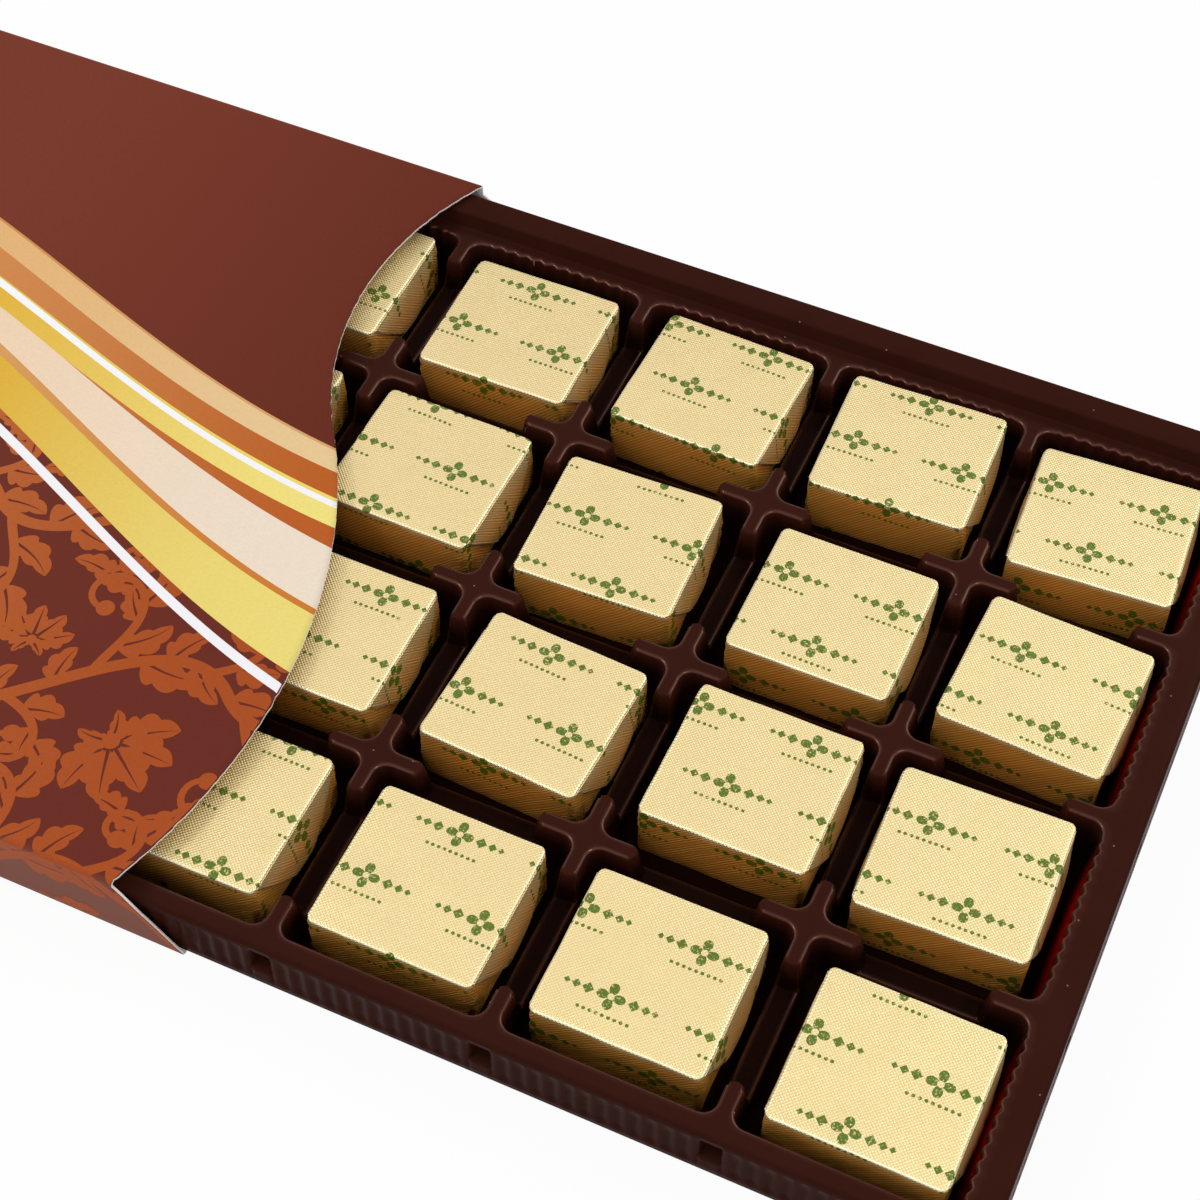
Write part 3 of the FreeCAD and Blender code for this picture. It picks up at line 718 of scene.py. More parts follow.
def lip_column(x):
    """Points of the back lip at a distance along the tray: riser and flat flange."""
    edge = TRAY_HIGH.y - SKIRT_FLARE - OUTER_ROUND
    radius = BACK_RADIUS - OUTER_ROUND
    for end in (TRAY_LOW.x, TRAY_HIGH.x):
        into = BACK_RADIUS + SKIRT_FLARE - abs(end - x)
        if into > 0:
            edge += math.sqrt(max(0.0, radius ** 2 - into ** 2)) - radius
    profile = [(LEDGE_Y, RIM_Z)]
    for turn in FILLET_TURNS[:-1]:
        y = LEDGE_Y + LIP_FOOT_RUN * math.sin(turn)
        profile.append((y, RIM_Z + LIP_FOOT_RISE * (1 - math.cos(turn))))
    for turn in (0.0, *FILLET_TURNS):
        y = LEDGE_Y + LIP_RUN + EDGE_ROUND * (1 - math.cos(turn))
        profile.append((y, LIP_Z - EDGE_ROUND * (1 - math.sin(turn))))
    flange = profile[-1][0]
    profile += [(flange + (edge - flange) * share, LIP_Z) for share in FLANGE_SHARES]
    return [(x, y, z) for y, z in profile]


def boundary_loop(shell):
    """The open border's vertices in order, counter-clockwise."""
    start = next(e for e in shell.edges if e.is_boundary).verts[0]
    loop = [start]
    before = None
    while True:
        edge = next(e for e in loop[-1].link_edges if e.is_boundary and e is not before)
        before = edge
        after = edge.other_vert(loop[-1])
        if after is start:
            break
        loop.append(after)
    area = sum(a.co.x * b.co.y - b.co.x * a.co.y for a, b in zip(loop, loop[1:] + loop[:1]))
    return loop if area > 0 else loop[::-1]


def add_strip(shell, columns, closed, flip):
    """Quads between neighbouring columns of vertices."""
    followers = columns[1:] + columns[:1] if closed else columns[1:]
    for one, other in zip(columns, followers):
        for k in range(len(one) - 1):
            corners = [one[k], other[k], other[k + 1], one[k + 1]]
            shell.faces.new(corners[::-1] if flip else corners)


def shade_column(verts, painted_glow, layers):
    """Shares kept with one column's vertices: painted red glow on the end walls, glossy edges, and painted
    shade deep in the cells.
    """
    painted_glow_layer, edge_layer, painted_shade_layer = layers
    for vert, share in zip(verts[-len(PAINTED_GLOW_SHARES):], PAINTED_GLOW_SHARES):
        vert[painted_glow_layer] = painted_glow * share
    for vert, share in zip(verts[len(TOP_SHARES) - 1:], EDGE_SHARES):
        vert[edge_layer] = share
    for vert in verts[:len(TOP_SHARES) - 1]:
        vert[edge_layer] = TOP_SHEEN_SHARE
    for vert in verts:
        # Painted shade, growing with depth below the rim
        vert[painted_shade_layer] = smooth_share((RIM_Z - vert.co.z) / PAINTED_SHADE_RUN)


def add_cells(shell):
    """Every cell with its part of the rim and the dividers, joined to its neighbours."""
    # Painted red glow, gloss of the edges and painted shade
    layers = [shell.verts.layers.float.new(name) for name in ("painted_glow", "edge", "painted_shade")]
    for row in range(1, ROWS + 1):
        for column in range(1, COLUMNS + 1):
            made = []
            for points, painted_glow in zip(*tile_columns(row, column)):
                verts = [shell.verts.new(p) for p in points]
                shade_column(verts, painted_glow, layers)
                made.append(verts)
            add_strip(shell, made, True, False)
            shell.faces.new([verts[-1] for verts in made])
    bmesh.ops.remove_doubles(shell, verts=shell.verts, dist=WELD)


def add_border(shell):
    """The back lip and the skirt, grown from the open border of the cells."""
    loop = boundary_loop(shell)
    on_ledge = [abs(v.co.y - LEDGE_Y) < STEP for v in loop]
    first = next(k for k in range(len(loop)) if on_ledge[k] and not on_ledge[k - 1])
    loop = loop[first:] + loop[:first]
    rim = loop[sum(on_ledge):]
    lip = []
    for vert in loop[:sum(on_ledge)][::-1]:
        points = lip_column(vert.co.x)
        lip.append([vert] + [shell.verts.new(p) for p in points[1:]])
    add_strip(shell, lip, False, False)
    chain = rim + lip[-1][:-1] + [column[-1] for column in lip[::-1]] + lip[0][-2::-1]
    skirt = [[vert] + [shell.verts.new(p) for p in skirt_column(*vert.co)] for vert in chain]
    add_strip(shell, skirt, True, True)


def build_tray(material):
    shell = bmesh.new()
    add_cells(shell)
    add_border(shell)
    made = shell_object("tray_shell", shell, material, True)
    thicken(made, SHEET)
    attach(made, "tray")
    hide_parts("tray")


# Sleeve
BOARD = 0.42
FOLD = 0.9
MOUTH_SETBACK = 3.9
WAVE_DEPTH = 28.9
WAVE_CREST_Y = -43.4
WAVE_DIP_Y = 48.5
WAVE_TURN_SHARE = 0.38
GLUE_INSET = 3.0
BACK_CUT_DROP = 2.2
RAG = 0.16
RAG_SCALE = 0.6
RAG_FINE = 3
RAG_FINE_SHARE = 0.5
RAG_FINE_LAYER = 9.0
FOLD_STEPS = 6
SLEEVE_STEPS = 150
SIDE_STEPS = 8
BASE_STEPS = 40
PANEL_STEP = 0.7

CREST_X = SLEEVE_HIGH.x - MOUTH_SETBACK
DIP_X = CREST_X - WAVE_DEPTH
WAVE_SPAN = WAVE_DIP_Y - WAVE_CREST_Y
WAVE_SIZE = (WAVE_SPAN ** 2 + WAVE_DEPTH ** 2) / (2 * WAVE_DEPTH)
TURN_Y = WAVE_DIP_Y - WAVE_SPAN * WAVE_TURN_SHARE
INK_ROOM = 0.06
SLEEVE_HALF = SLEEVE_HIGH.y - INK_ROOM
SLEEVE_TOP = SLEEVE_HIGH.z - INK_ROOM
FLAT_HALF = SLEEVE_HALF - FOLD
FOLD_RUN = FOLD * math.pi / 2
SIDE_PANEL = SLEEVE_TOP - 2 * FOLD


def wave_x(y):
    """Place of the mouth's cut along the sleeve."""
    if y > TURN_Y:
        radius = WAVE_SIZE * WAVE_TURN_SHARE
        return DIP_X + radius - math.sqrt(radius ** 2 - (y - WAVE_DIP_Y) ** 2)
    radius = WAVE_SIZE * (1 - WAVE_TURN_SHARE)
    return CREST_X - radius + math.sqrt(radius ** 2 - (y - WAVE_CREST_Y) ** 2)


def mouth_x(y, z):
    """Where the card ends at the mouth, for any point of the sleeve's section."""
    if z >= SLEEVE_TOP - FOLD:
        return wave_x(max(-FLAT_HALF, min(FLAT_HALF, y)))
    if z <= FOLD:
        return SLEEVE_HIGH.x
    top = SLEEVE_TOP - FOLD - (BACK_CUT_DROP if y > 0 else 0.0)
    share = max(0.0, (top - z) / (top - FOLD))
    start = wave_x(math.copysign(FLAT_HALF, y))
    return start + (SLEEVE_HIGH.x - start) * share


def ragged_mouth_x(y, z):
    """The mouth's cut with the fine fray of its board."""
    rag = noise.noise(Vector((y, z, 0.0)) * RAG_SCALE)
    rag += noise.noise(Vector((y, z, RAG_FINE_LAYER)) * RAG_SCALE * RAG_FINE) * RAG_FINE_SHARE
    return mouth_x(y, z) + rag * RAG


def sleeve_section():
    """Points (blank coordinate, y, z) once round the sleeve, from the seam up the back and over the top."""
    top_run = 2 * FLAT_HALF
    panels = (
        # start point, direction, length, steps
        ((SLEEVE_HALF, FOLD), (0, 1), SIDE_PANEL, SIDE_STEPS),
        ((FLAT_HALF, SLEEVE_TOP), (-1, 0), top_run, int(top_run / PANEL_STEP)),
        ((-SLEEVE_HALF, SLEEVE_TOP - FOLD), (0, -1), SIDE_PANEL, SIDE_STEPS),
        ((-FLAT_HALF, 0.0), (1, 0), top_run, BASE_STEPS),
    )
    blank = FLAT_HALF + FOLD_RUN + SIDE_PANEL
    section = []
    for (y, z), (dy, dz), run, steps in panels:
        for step in range(steps + 1):
            gone = run * step / steps
            section.append((blank - gone, y + dy * gone, z + dz * gone))
        blank -= run
        pivot_y = y + dy * run - dz * FOLD
        pivot_z = z + dz * run + dy * FOLD
        for step in range(1, FOLD_STEPS):
            turn = math.pi / 2 * step / FOLD_STEPS
            reach_y = dz * math.cos(turn) + dy * math.sin(turn)
            reach_z = dz * math.sin(turn) - dy * math.cos(turn)
            section.append((blank - FOLD * turn, pivot_y + reach_y * FOLD, pivot_z + reach_z * FOLD))
        blank -= FOLD_RUN
    section.append((blank, SLEEVE_HALF, FOLD))
    return section


def build_sleeve(print_material, board_material):
    section = sleeve_section()
    points = []
    for _, y, z in section:
        run = ragged_mouth_x(y, z) - SLEEVE_LOW.x
        points += [(SLEEVE_LOW.x + run * k / SLEEVE_STEPS, y, z) for k in range(SLEEVE_STEPS + 1)]
    width = SLEEVE_STEPS + 1
    faces = []
    uvs = []
    for i in range(len(section) - 1):
        for j in range(SLEEVE_STEPS):
            corners = (i * width + j, (i + 1) * width + j, (i + 1) * width + j + 1, i * width + j + 1)
            faces.append(corners)
            uvs += [(points[c][0], section[c // width][0]) for c in corners]
    slots = [0] * len(faces) + [1]
    count = len(points)
    for x in (SLEEVE_LOW.x + GLUE_INSET, wave_x(FLAT_HALF) - GLUE_INSET):
        points += [(x, SLEEVE_HALF - BOARD, z) for z in (FOLD, SLEEVE_TOP - FOLD)]
    faces.append((count, count + 1, count + 3, count + 2))
    uvs += [(0.0, 0.0)] * 4
    materials = [print_material, board_material, board_material]
    made = mesh_object("sleeve_card", points, faces, materials, "blank", uvs, slots)
    seam = bmesh.new()
    seam.from_mesh(made.data)
    bmesh.ops.remove_doubles(seam, verts=seam.verts, dist=WELD * MM)
    seam.to_mesh(made.data)
    seam.free()
    card = thicken(made, BOARD)
    card.material_offset = 1
    card.material_offset_rim = 1
    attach(made, "sleeve")
    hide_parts("sleeve")


# Scroll ornament of the print: curling stems, leaves with a vein and fan-shaped flowers, laid on the card
INK_LIFT = 0.02
INK_SHEET = 0.015
LINE_LIFT = 0.04
LINE_STEPS = 240
LAYER_STEP = 0.00015
PRINT_MARGIN = 0.25
LEAST_AREA = 0.01
TILE_LONG = 56.0
TILE_WIDE = 40.0
TILE_START = Vector((12.0, -52.0))
TILE_COLUMNS = range(-4, 2)
TILE_ROWS = range(-2, 3)
STEM_WIDTH = 2.1
STEM_HANDLES = ((-28.0, -10.0), (-10.0, -26.0), (10.0, 26.0), (28.0, 10.0))
STEM_STEPS = 60
STEM_LEAVES = (
    # share along the stem, turn from it, length, width
    (0.02, 0.9, 9.0, 5.2),
    (0.22, 0.75, 11.0, 6.0),
    (0.28, -0.9, 8.5, 4.8),
    (0.36, 0.85, 8.5, 4.8),
    (0.52, 0.95, 7.5, 4.4),
    (0.72, -0.75, 11.0, 6.0),
    (0.78, 0.9, 8.5, 4.8),
    (0.86, -0.85, 8.5, 4.8),
)
STEM_LEAF_BEND = 0.07
SHOOTS = (
    # share along the stem, turn from it, length, bend at the start, bend at the end
    (0.08, -0.8, 34.0, 0.06, -0.36),
    (0.42, -1.0, 25.0, 0.02, -0.50),
    (0.60, 0.8, 34.0, -0.06, 0.36),
    (0.92, 1.0, 25.0, -0.02, 0.50),
)
SHOOT_STEPS = 40
SHOOT_WIDTH_SHARES = (0.8, 0.5)
SHOOT_BULB_SHARE = 0.75
SHOOT_LEAVES = (
    # share along the shoot, turn from it, length on a shoot of the full length, width
    (0.18, 0.75, 9.5, 5.4),
    (0.36, -0.8, 6.5, 3.8),
    (0.46, 0.75, 10.0, 5.6),
    (0.58, -0.85, 7.0, 4.2),
    (0.72, 0.8, 7.5, 4.4),
)
SHOOT_FULL_LENGTH = 33.0
SHOOT_LEAF_BEND = 0.08
LEAF_STEPS = 24
LEAF_LOBES = 3
LEAF_VEIN = 0.6
LEAF_SKEW_SHARE = 0.25
LEAF_BEND_SHARES = (0.3, 1.4)
LEAF_POWER = 0.7
LOBE_SHARE = 0.28
LOBE_LEAN_POWER = 1.6
LOBE_POWER = 0.6
FLOWERS = (
    # place in the tile, heading, size
    (Vector((15.5, -5.0)), -0.6, 15.0),
    (Vector((-18.0, 2.5)), 2.54, 10.0),
    (Vector((-6.5, 6.5)), 1.8, 9.5),
)
PETAL_TURNS = (-1.3, -0.65, 0.0, 0.65, 1.3)
PETAL_START_SHARE = 0.12
PETAL_LENGTH_SHARE = 0.62
PETAL_WIDTH_SHARE = 0.42
PETAL_BEND = 0.03
SEPAL_TURNS = (-2.3, 2.3)
SEPAL_LENGTH_SHARE = 0.4
SEPAL_WIDTH_SHARE = 0.22
SEPAL_BEND = 0.05
HEART_SHARE = 0.1
BULB_STEPS = 12


def direction(angle):
    return Vector((math.cos(angle), math.sin(angle)))


def trace(start, heading, length, bend_start, bend_end, steps):
    """Points and headings along a line whose bend, in turn per millimetre, changes evenly."""
    spot = start.copy()
    path = []
    for step in range(steps + 1):
        path.append((spot.copy(), heading))
        heading += (bend_start + (bend_end - bend_start) * step / steps) * length / steps
        spot += direction(heading) * length / steps
    return path


def stem_path():
    """Points and headings along the main stem of a tile."""
    a, b, c, d = (Vector(p) for p in STEM_HANDLES)
    path = []
    for step in range(STEM_STEPS + 1):
        t = step / STEM_STEPS
        spot = a * (1 - t) ** 3 + b * 3 * t * (1 - t) ** 2 + c * 3 * t * t * (1 - t) + d * t ** 3
        way = (b - a) * (1 - t) ** 2 + (c - b) * 2 * t * (1 - t) + (d - c) * t * t
        path.append((spot, math.atan2(way.y, way.x)))
    return path


def ribbon(path, width_start, width_end):
    """Two rows of points along both sides of a path."""
    last = len(path) - 1
    rows = ([], [])
    for k, (spot, heading) in enumerate(path):
        reach = direction(heading + math.pi / 2) * (width_start + (width_end - width_start) * k / last) / 2
        rows[0].append(spot + reach)
        rows[1].append(spot - reach)
    return rows


def leaf_swell(share):
    """Width of a lobed leaf at a share of its length, as a share of its full width."""
    lobe = (share * LEAF_LOBES) % 1.0
    notch = LOBE_SHARE * (1 - math.sin(math.pi * lobe ** LOBE_LEAN_POWER) ** LOBE_POWER)
    return math.sin(math.pi * share ** LEAF_POWER) ** LEAF_POWER * (1 - notch)


def leaf(start, heading, length, width, bend):
    """The two halves of a lobed leaf, each as two rows of points, with a vein left free between them."""
    halves = []
    bend_start, bend_end = (bend * share for share in LEAF_BEND_SHARES)
    path = trace(start, heading, length, bend_start, bend_end, LEAF_STEPS)
    for side in (1, -1):
        inner = []
        outer = []
        fuller = 1 - side * math.copysign(LEAF_SKEW_SHARE, bend)
        for k, (spot, turn) in enumerate(path):
            share = k / LEAF_STEPS
            reach = direction(turn + math.pi / 2) * side
            near = LEAF_VEIN / 2 * (1 - share)
            inner.append(spot + reach * near)
            outer.append(spot + reach * max(near, width / 2 * leaf_swell(share) * fuller))
        halves.append((outer, inner) if side > 0 else (inner, outer))
    return halves


def bulb(centre, radius):
    """A round end of a scroll, as two rows of points."""
    turns = [math.pi * k / BULB_STEPS for k in range(BULB_STEPS + 1)]
    upper = [centre + direction(math.pi - turn) * radius for turn in turns]
    lower = [centre + direction(math.pi + turn) * radius for turn in turns]
    return upper, lower


def flower(centre, heading, size):
    """Petals in a fan about a round heart, with a sepal on both sides behind them."""
    strips = []
    for turn in PETAL_TURNS:
        start = centre + direction(heading + turn) * size * PETAL_START_SHARE
        length = size * PETAL_LENGTH_SHARE
        strips += leaf(start, heading + turn, length, size * PETAL_WIDTH_SHARE, -turn * PETAL_BEND)
    for turn in SEPAL_TURNS:
        length = size * SEPAL_LENGTH_SHARE
        strips += leaf(centre, heading + turn, length, size * SEPAL_WIDTH_SHARE, turn * SEPAL_BEND)
    strips.append(bulb(centre, size * HEART_SHARE))
    return strips


def shoot_strips(spot, heading, length, bend_start, bend_end):
    """A curling shoot with its round end and its leaves."""
    shoot = trace(spot, heading, length, bend_start, bend_end, SHOOT_STEPS)
    strips = [ribbon(shoot, *(STEM_WIDTH * share for share in SHOOT_WIDTH_SHARES))]
    strips.append(bulb(shoot[-1][0], STEM_WIDTH * SHOOT_BULB_SHARE))
    for share, turn, leaf_length, width in SHOOT_LEAVES:
        leaf_spot, leaf_heading = shoot[round(share * SHOOT_STEPS)]
        side = math.copysign(1.0, bend_end) * turn
        leaf_length *= length / SHOOT_FULL_LENGTH
        bend = math.copysign(SHOOT_LEAF_BEND, side)
        strips += leaf(leaf_spot, leaf_heading - side, leaf_length, width, bend)
    return strips


def ornament_tile():
    """All strips of one tile of the ornament, about its centre."""
    stem = stem_path()
    strips = [ribbon(stem, STEM_WIDTH, STEM_WIDTH)]
    for share, turn, length, width in STEM_LEAVES:
        spot, heading = stem[round(share * STEM_STEPS)]
        strips += leaf(spot, heading + turn, length, width, -math.copysign(STEM_LEAF_BEND, turn))
    for share, turn, length, bend_start, bend_end in SHOOTS:
        spot, heading = stem[round(share * STEM_STEPS)]
        strips += shoot_strips(spot, heading + turn, length, bend_start, bend_end)
    for centre, heading, size in FLOWERS:
        strips += flower(centre, heading, size)
    return strips


def blank_point(x, blank, lift):
    """Place in space of a point of the flat blank, on the top panel, the front fold or the front panel."""
    past = -FLAT_HALF - blank
    if past <= 0:
        return (x, blank, SLEEVE_TOP + lift)
    if past < FOLD_RUN:
        turn = past / FOLD
        reach = FOLD + lift
        return (x, -FLAT_HALF - reach * math.sin(turn), SLEEVE_TOP - FOLD + reach * math.cos(turn))
    return (x, -SLEEVE_HALF - lift, SLEEVE_TOP - FOLD - (past - FOLD_RUN))


def clipped(spot):
    """A point moved onto the printed field, between the bands, the mouth and the front panel's foot."""
    foot = -FLAT_HALF - FOLD_RUN - SIDE_PANEL
    blank = max(foot + PRINT_MARGIN, min(spot.y, edge_y(BAND_EDGES[-1], spot.x)))
    _, y, z = blank_point(spot.x, blank, 0.0)
    x = max(SLEEVE_LOW.x + PRINT_MARGIN, min(spot.x, mouth_x(y, z) - PRINT_MARGIN))
    return Vector((x, blank))


def strip_sheet(name, strips, layers, lift, material):
    """A printed layer a hair thick on the sleeve.

    It is made of strips in blank coordinates, each a hair above the one before, up to a number of layers.
    """
    sheet = bmesh.new()
    moved = set()
    for index, strip in enumerate(strips):
        rise = lift + LAYER_STEP * (index % layers)
        rows = ([], [])
        for row, line in zip(rows, strip):
            for spot in line:
                inside = clipped(spot)
                vert = sheet.verts.new((*inside, rise))
                row.append(vert)
                if (inside - spot).length > PRINT_MARGIN:
                    moved.add(vert)
        for k in range(len(rows[0]) - 1):
            sheet.faces.new((rows[0][k], rows[1][k], rows[1][k + 1], rows[0][k + 1]))
    lost = [f for f in sheet.faces if f.calc_area() < LEAST_AREA or all(v in moved for v in f.verts)]
    bmesh.ops.delete(sheet, geom=lost, context="FACES")
    for step in range(FOLD_STEPS + 1):
        fold_line = Vector((0, -FLAT_HALF - FOLD_RUN * step / FOLD_STEPS, 0))
        whole = sheet.verts[:] + sheet.edges[:] + sheet.faces[:]
        bmesh.ops.bisect_plane(sheet, geom=whole, plane_co=fold_line, plane_no=(0, 1, 0))
    for vert in sheet.verts:
        vert.co = blank_point(*vert.co)
    made = shell_object(name, sheet, material, False)
    thicken(made, INK_SHEET)
    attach(made, "sleeve")


def build_ornament(material):
    """Tiles side by side, every second column half a tile higher."""
    tile = ornament_tile()
    strips = []
    for column in TILE_COLUMNS:
        for row in TILE_ROWS:
            shift = Vector((column * TILE_LONG, (row + column % 2 / 2) * TILE_WIDE))
            centre = TILE_START + shift
            strips += [[[spot + centre for spot in line] for line in strip] for strip in tile]
    strip_sheet("sleeve_ornament", strips, len(tile), INK_LIFT, material)


def build_white_line(material):
    run = SLEEVE_HIGH.x - SLEEVE_LOW.x
    places = [SLEEVE_LOW.x + run * step / LINE_STEPS for step in range(LINE_STEPS + 1)]
    upper = [Vector((x, edge_y(WHITE_LINE, x))) for x in places]
    lower = [spot - Vector((0.0, WHITE_LINE_WIDTH)) for spot in upper]
    strip_sheet("sleeve_white_line", [(upper, lower)], 1, LINE_LIFT, material)


# Foil wrappers: a rounded parcel, and at both ends a folded-down flap with pinked edges
FOIL_EDGE = 0.36
FOIL_CORNER = 1.1
FOIL_LEAST_CORNER = 0.05
FOIL_SIDE_STEPS = 30
FOIL_CORNER_STEPS = 6
FOIL_LEVELS = 12
FOIL_BASE_INSET = 3.0
FOIL_TOP_INSETS = (1.0, 2.0, 3.5, 5.5, 8.0, 10.5)
FOIL_LOOSE = 0.3
FLAP_SHEET = 0.12
FLAP_DROP_SHARE = 0.84
FLAP_TIP_SHARE = 0.22
FLAP_REACH = 1.3
FLAP_CURL_SHARE = 0.35
FLAP_CURL_POWER = 4
FLAP_BOW_SHARE = 0.12
FLAP_STEPS = 36
PINK_PITCH = 0.9
PINK_DEPTH = 0.4
PINK_EASE_SHARE = 0.2
CORE_GAP = 0.7
# Swell of the sides, wrinkles all over and crinkles at the corners, each with its scale or power
FOIL_SWELL = 0.12
WRINKLE = 0.17
WRINKLE_SCALE = 0.25
CRINKLE = 0.4
CRINKLE_SCALE = 1.1
SINK_SCALE = 0.13
SINK_SHARE = 0.4
SIDE_POWER = 8
CORNER_POWER = 6
TOP_POWER = 4
TOP_HOLD_RUN = 1.5
TOP_HOLD_SHARE = 0.15
# Shares kept with the vertices: painted shade on the sides and flaps, and painted highlights along the
# edges
SIDE_START = 0.2
SIDE_RUN = 1.0
FLAP_SHADE_SHARE = 0.75
FLAP_SHADE_RUN = 5.0
PAINTED_HIGHLIGHT_SHARE = 0.7
PAINTED_HIGHLIGHT_RUN = 0.2
FLAP_PAINTED_HIGHLIGHT_SHARE = 0.55
FOIL_POSES = {
    # (row, column): shift along and across in pitches, turn in radians
    (1, 4): (0.025, -0.029, 0.008),
    (1, 3): (0.028, 0.013, -0.034),
    (1, 2): (0.014, 0.036, 0.031),
    (1, 1): (-0.008, -0.011, 0.06),
    (2, 4): (0.0, 0.0, -0.02),
    (2, 3): (-0.018, 0.0, 0.036),
    (2, 2): (0.028, 0.001, -0.003),
    (2, 1): (0.016, 0.016, -0.049),
    (3, 3): (0.022, -0.004, -0.057),
    (3, 2): (0.028, 0.036, -0.004),
    (3, 1): (-0.012, 0.012, 0.024),
    (4, 3): (0.006, -0.012, -0.009),
    (4, 1): (0.028, -0.036, -0.011),
}


def rounded_ring(half_x, half_y, radius):
    """Points of a rounded rectangle, counter-clockwise."""
    corners = ((1, -1, -90), (1, 1, 0), (-1, 1, 90), (-1, -1, 180))
    arcs = []
    for sx, sy, start in corners:
        pivot = Vector((sx * (half_x - radius), sy * (half_y - radius)))
        turns = [math.radians(start + 90 * k / FOIL_CORNER_STEPS) for k in range(FOIL_CORNER_STEPS + 1)]
        arcs.append([pivot + direction(turn) * radius for turn in turns])
    ring = []
    for arc, following in zip(arcs, arcs[1:] + arcs[:1]):
        shares = [k / FOIL_SIDE_STEPS for k in range(1, FOIL_SIDE_STEPS)]
        ring += arc + [arc[-1].lerp(following[0], share) for share in shares]
    return ring


def foil_levels(height):
    """Insets and heights of the wrapper's rings, from under its base to the middle of its top."""
    levels = [(FOIL_BASE_INSET, 0.0), (FOIL_EDGE, 0.0)]
    for turn in FILLET_TURNS:
        levels.append((FOIL_EDGE * (1 - math.sin(turn)), FOIL_EDGE * (1 - math.cos(turn))))
    for step in range(1, FOIL_LEVELS):
        levels.append((0.0, FOIL_EDGE + (height - 2 * FOIL_EDGE) * step / FOIL_LEVELS))
    for turn in (0.0, *FILLET_TURNS):
        levels.append((FOIL_EDGE * (1 - math.cos(turn)), height - FOIL_EDGE * (1 - math.sin(turn))))
    levels += [(edge, height) for edge in FOIL_TOP_INSETS]
    return levels


def wrap_uvs(points, faces, height):
    """Coordinates of each face's corners on the flat sheet: the top in the middle, the sides folded out."""
    uvs = []
    for face in faces:
        corners = [points[k] for k in face]
        normal = (corners[1] - corners[0]).cross(corners[2] - corners[1])
        for p in corners:
            drop = height - p.z
            if abs(normal.z) >= max(abs(normal.x), abs(normal.y)):
                uvs.append((p.x, p.y))
            elif abs(normal.x) > abs(normal.y):
                uvs.append((p.x + math.copysign(drop, p.x), p.y))
            else:
                uvs.append((p.x, p.y + math.copysign(drop, p.y)))
    return uvs


def parcel(half_x, half_y, height):
    """Points and faces of the closed parcel, before wrinkles."""
    points = []
    for edge, z in foil_levels(height):
        ring = rounded_ring(half_x - edge, half_y - edge, max(FOIL_CORNER - edge, FOIL_LEAST_CORNER))
        points += [Vector((p.x, p.y, z)) for p in ring]
    count = len(ring)
    rings = len(points) // count
    faces = [tuple(range(count))[::-1]]
    for k in range(rings - 1):
        for i in range(count):
            j = (i + 1) % count
            faces.append((k * count + i, k * count + j, (k + 1) * count + j, (k + 1) * count + i))
    faces.append(tuple(range((rings - 1) * count, rings * count)))
    return points, faces


def flap_faces(side):
    """Faces of a closed plate of little thickness: two square grids of points and the border between them.
    """
    width = FLAP_STEPS + 1
    layer = width * width
    faces = []
    for row in range(FLAP_STEPS):
        for column in range(FLAP_STEPS):
            a = row * width + column
            quad = (a, a + 1, a + width + 1, a + width)
            faces += [quad, tuple(layer + k for k in quad)[::-1]]
    border = list(range(width))
    border += [row * width + FLAP_STEPS for row in range(1, width)]
    border += [FLAP_STEPS * width + k for k in range(FLAP_STEPS - 1, -1, -1)]
    border += [row * width for row in range(FLAP_STEPS - 1, 0, -1)]
    for one, other in zip(border, border[1:] + border[:1]):
        faces.append((one, layer + one, layer + other, other))
    return faces if side > 0 else [face[::-1] for face in faces]


def end_flap(side, half_x, half_y, height):
    """The top sheet folded down over one end: points, faces, wrap coordinates and shares of painted edge
    highlight.
    """
    points = []
    uvs = []
    painted_highlights = []
    for lift in (0.0, FLAP_SHEET):
        for row in range(FLAP_STEPS + 1):
            share = row / FLAP_STEPS
            z = height - FOIL_EDGE - (height - FOIL_EDGE) * FLAP_DROP_SHARE * share
            half = (half_y - FOIL_CORNER) * (1 - (1 - FLAP_TIP_SHARE) * share)
            tooth = abs(2 * ((share * height / PINK_PITCH) % 1.0) - 1)
            half += PINK_DEPTH * tooth * smooth_share(share / PINK_EASE_SHARE)
            curl = FLAP_REACH * (share - FLAP_CURL_SHARE * share ** FLAP_CURL_POWER)
            for column in range(FLAP_STEPS + 1):
                across = 2 * column / FLAP_STEPS - 1
                x = half_x + lift + curl * (1 - FLAP_BOW_SHARE * across * across)
                points.append(Vector((side * x, across * half, z)))
                uvs.append((side * (half_x + height - z), across * half))
                # Painted highlight along the flap's border
                on_border = row == FLAP_STEPS or column in (0, FLAP_STEPS)
                painted_highlights.append(FLAP_PAINTED_HIGHLIGHT_SHARE if on_border else 0.0)
    faces = flap_faces(side)
    return points, faces, [uvs[k] for face in faces for k in face], painted_highlights


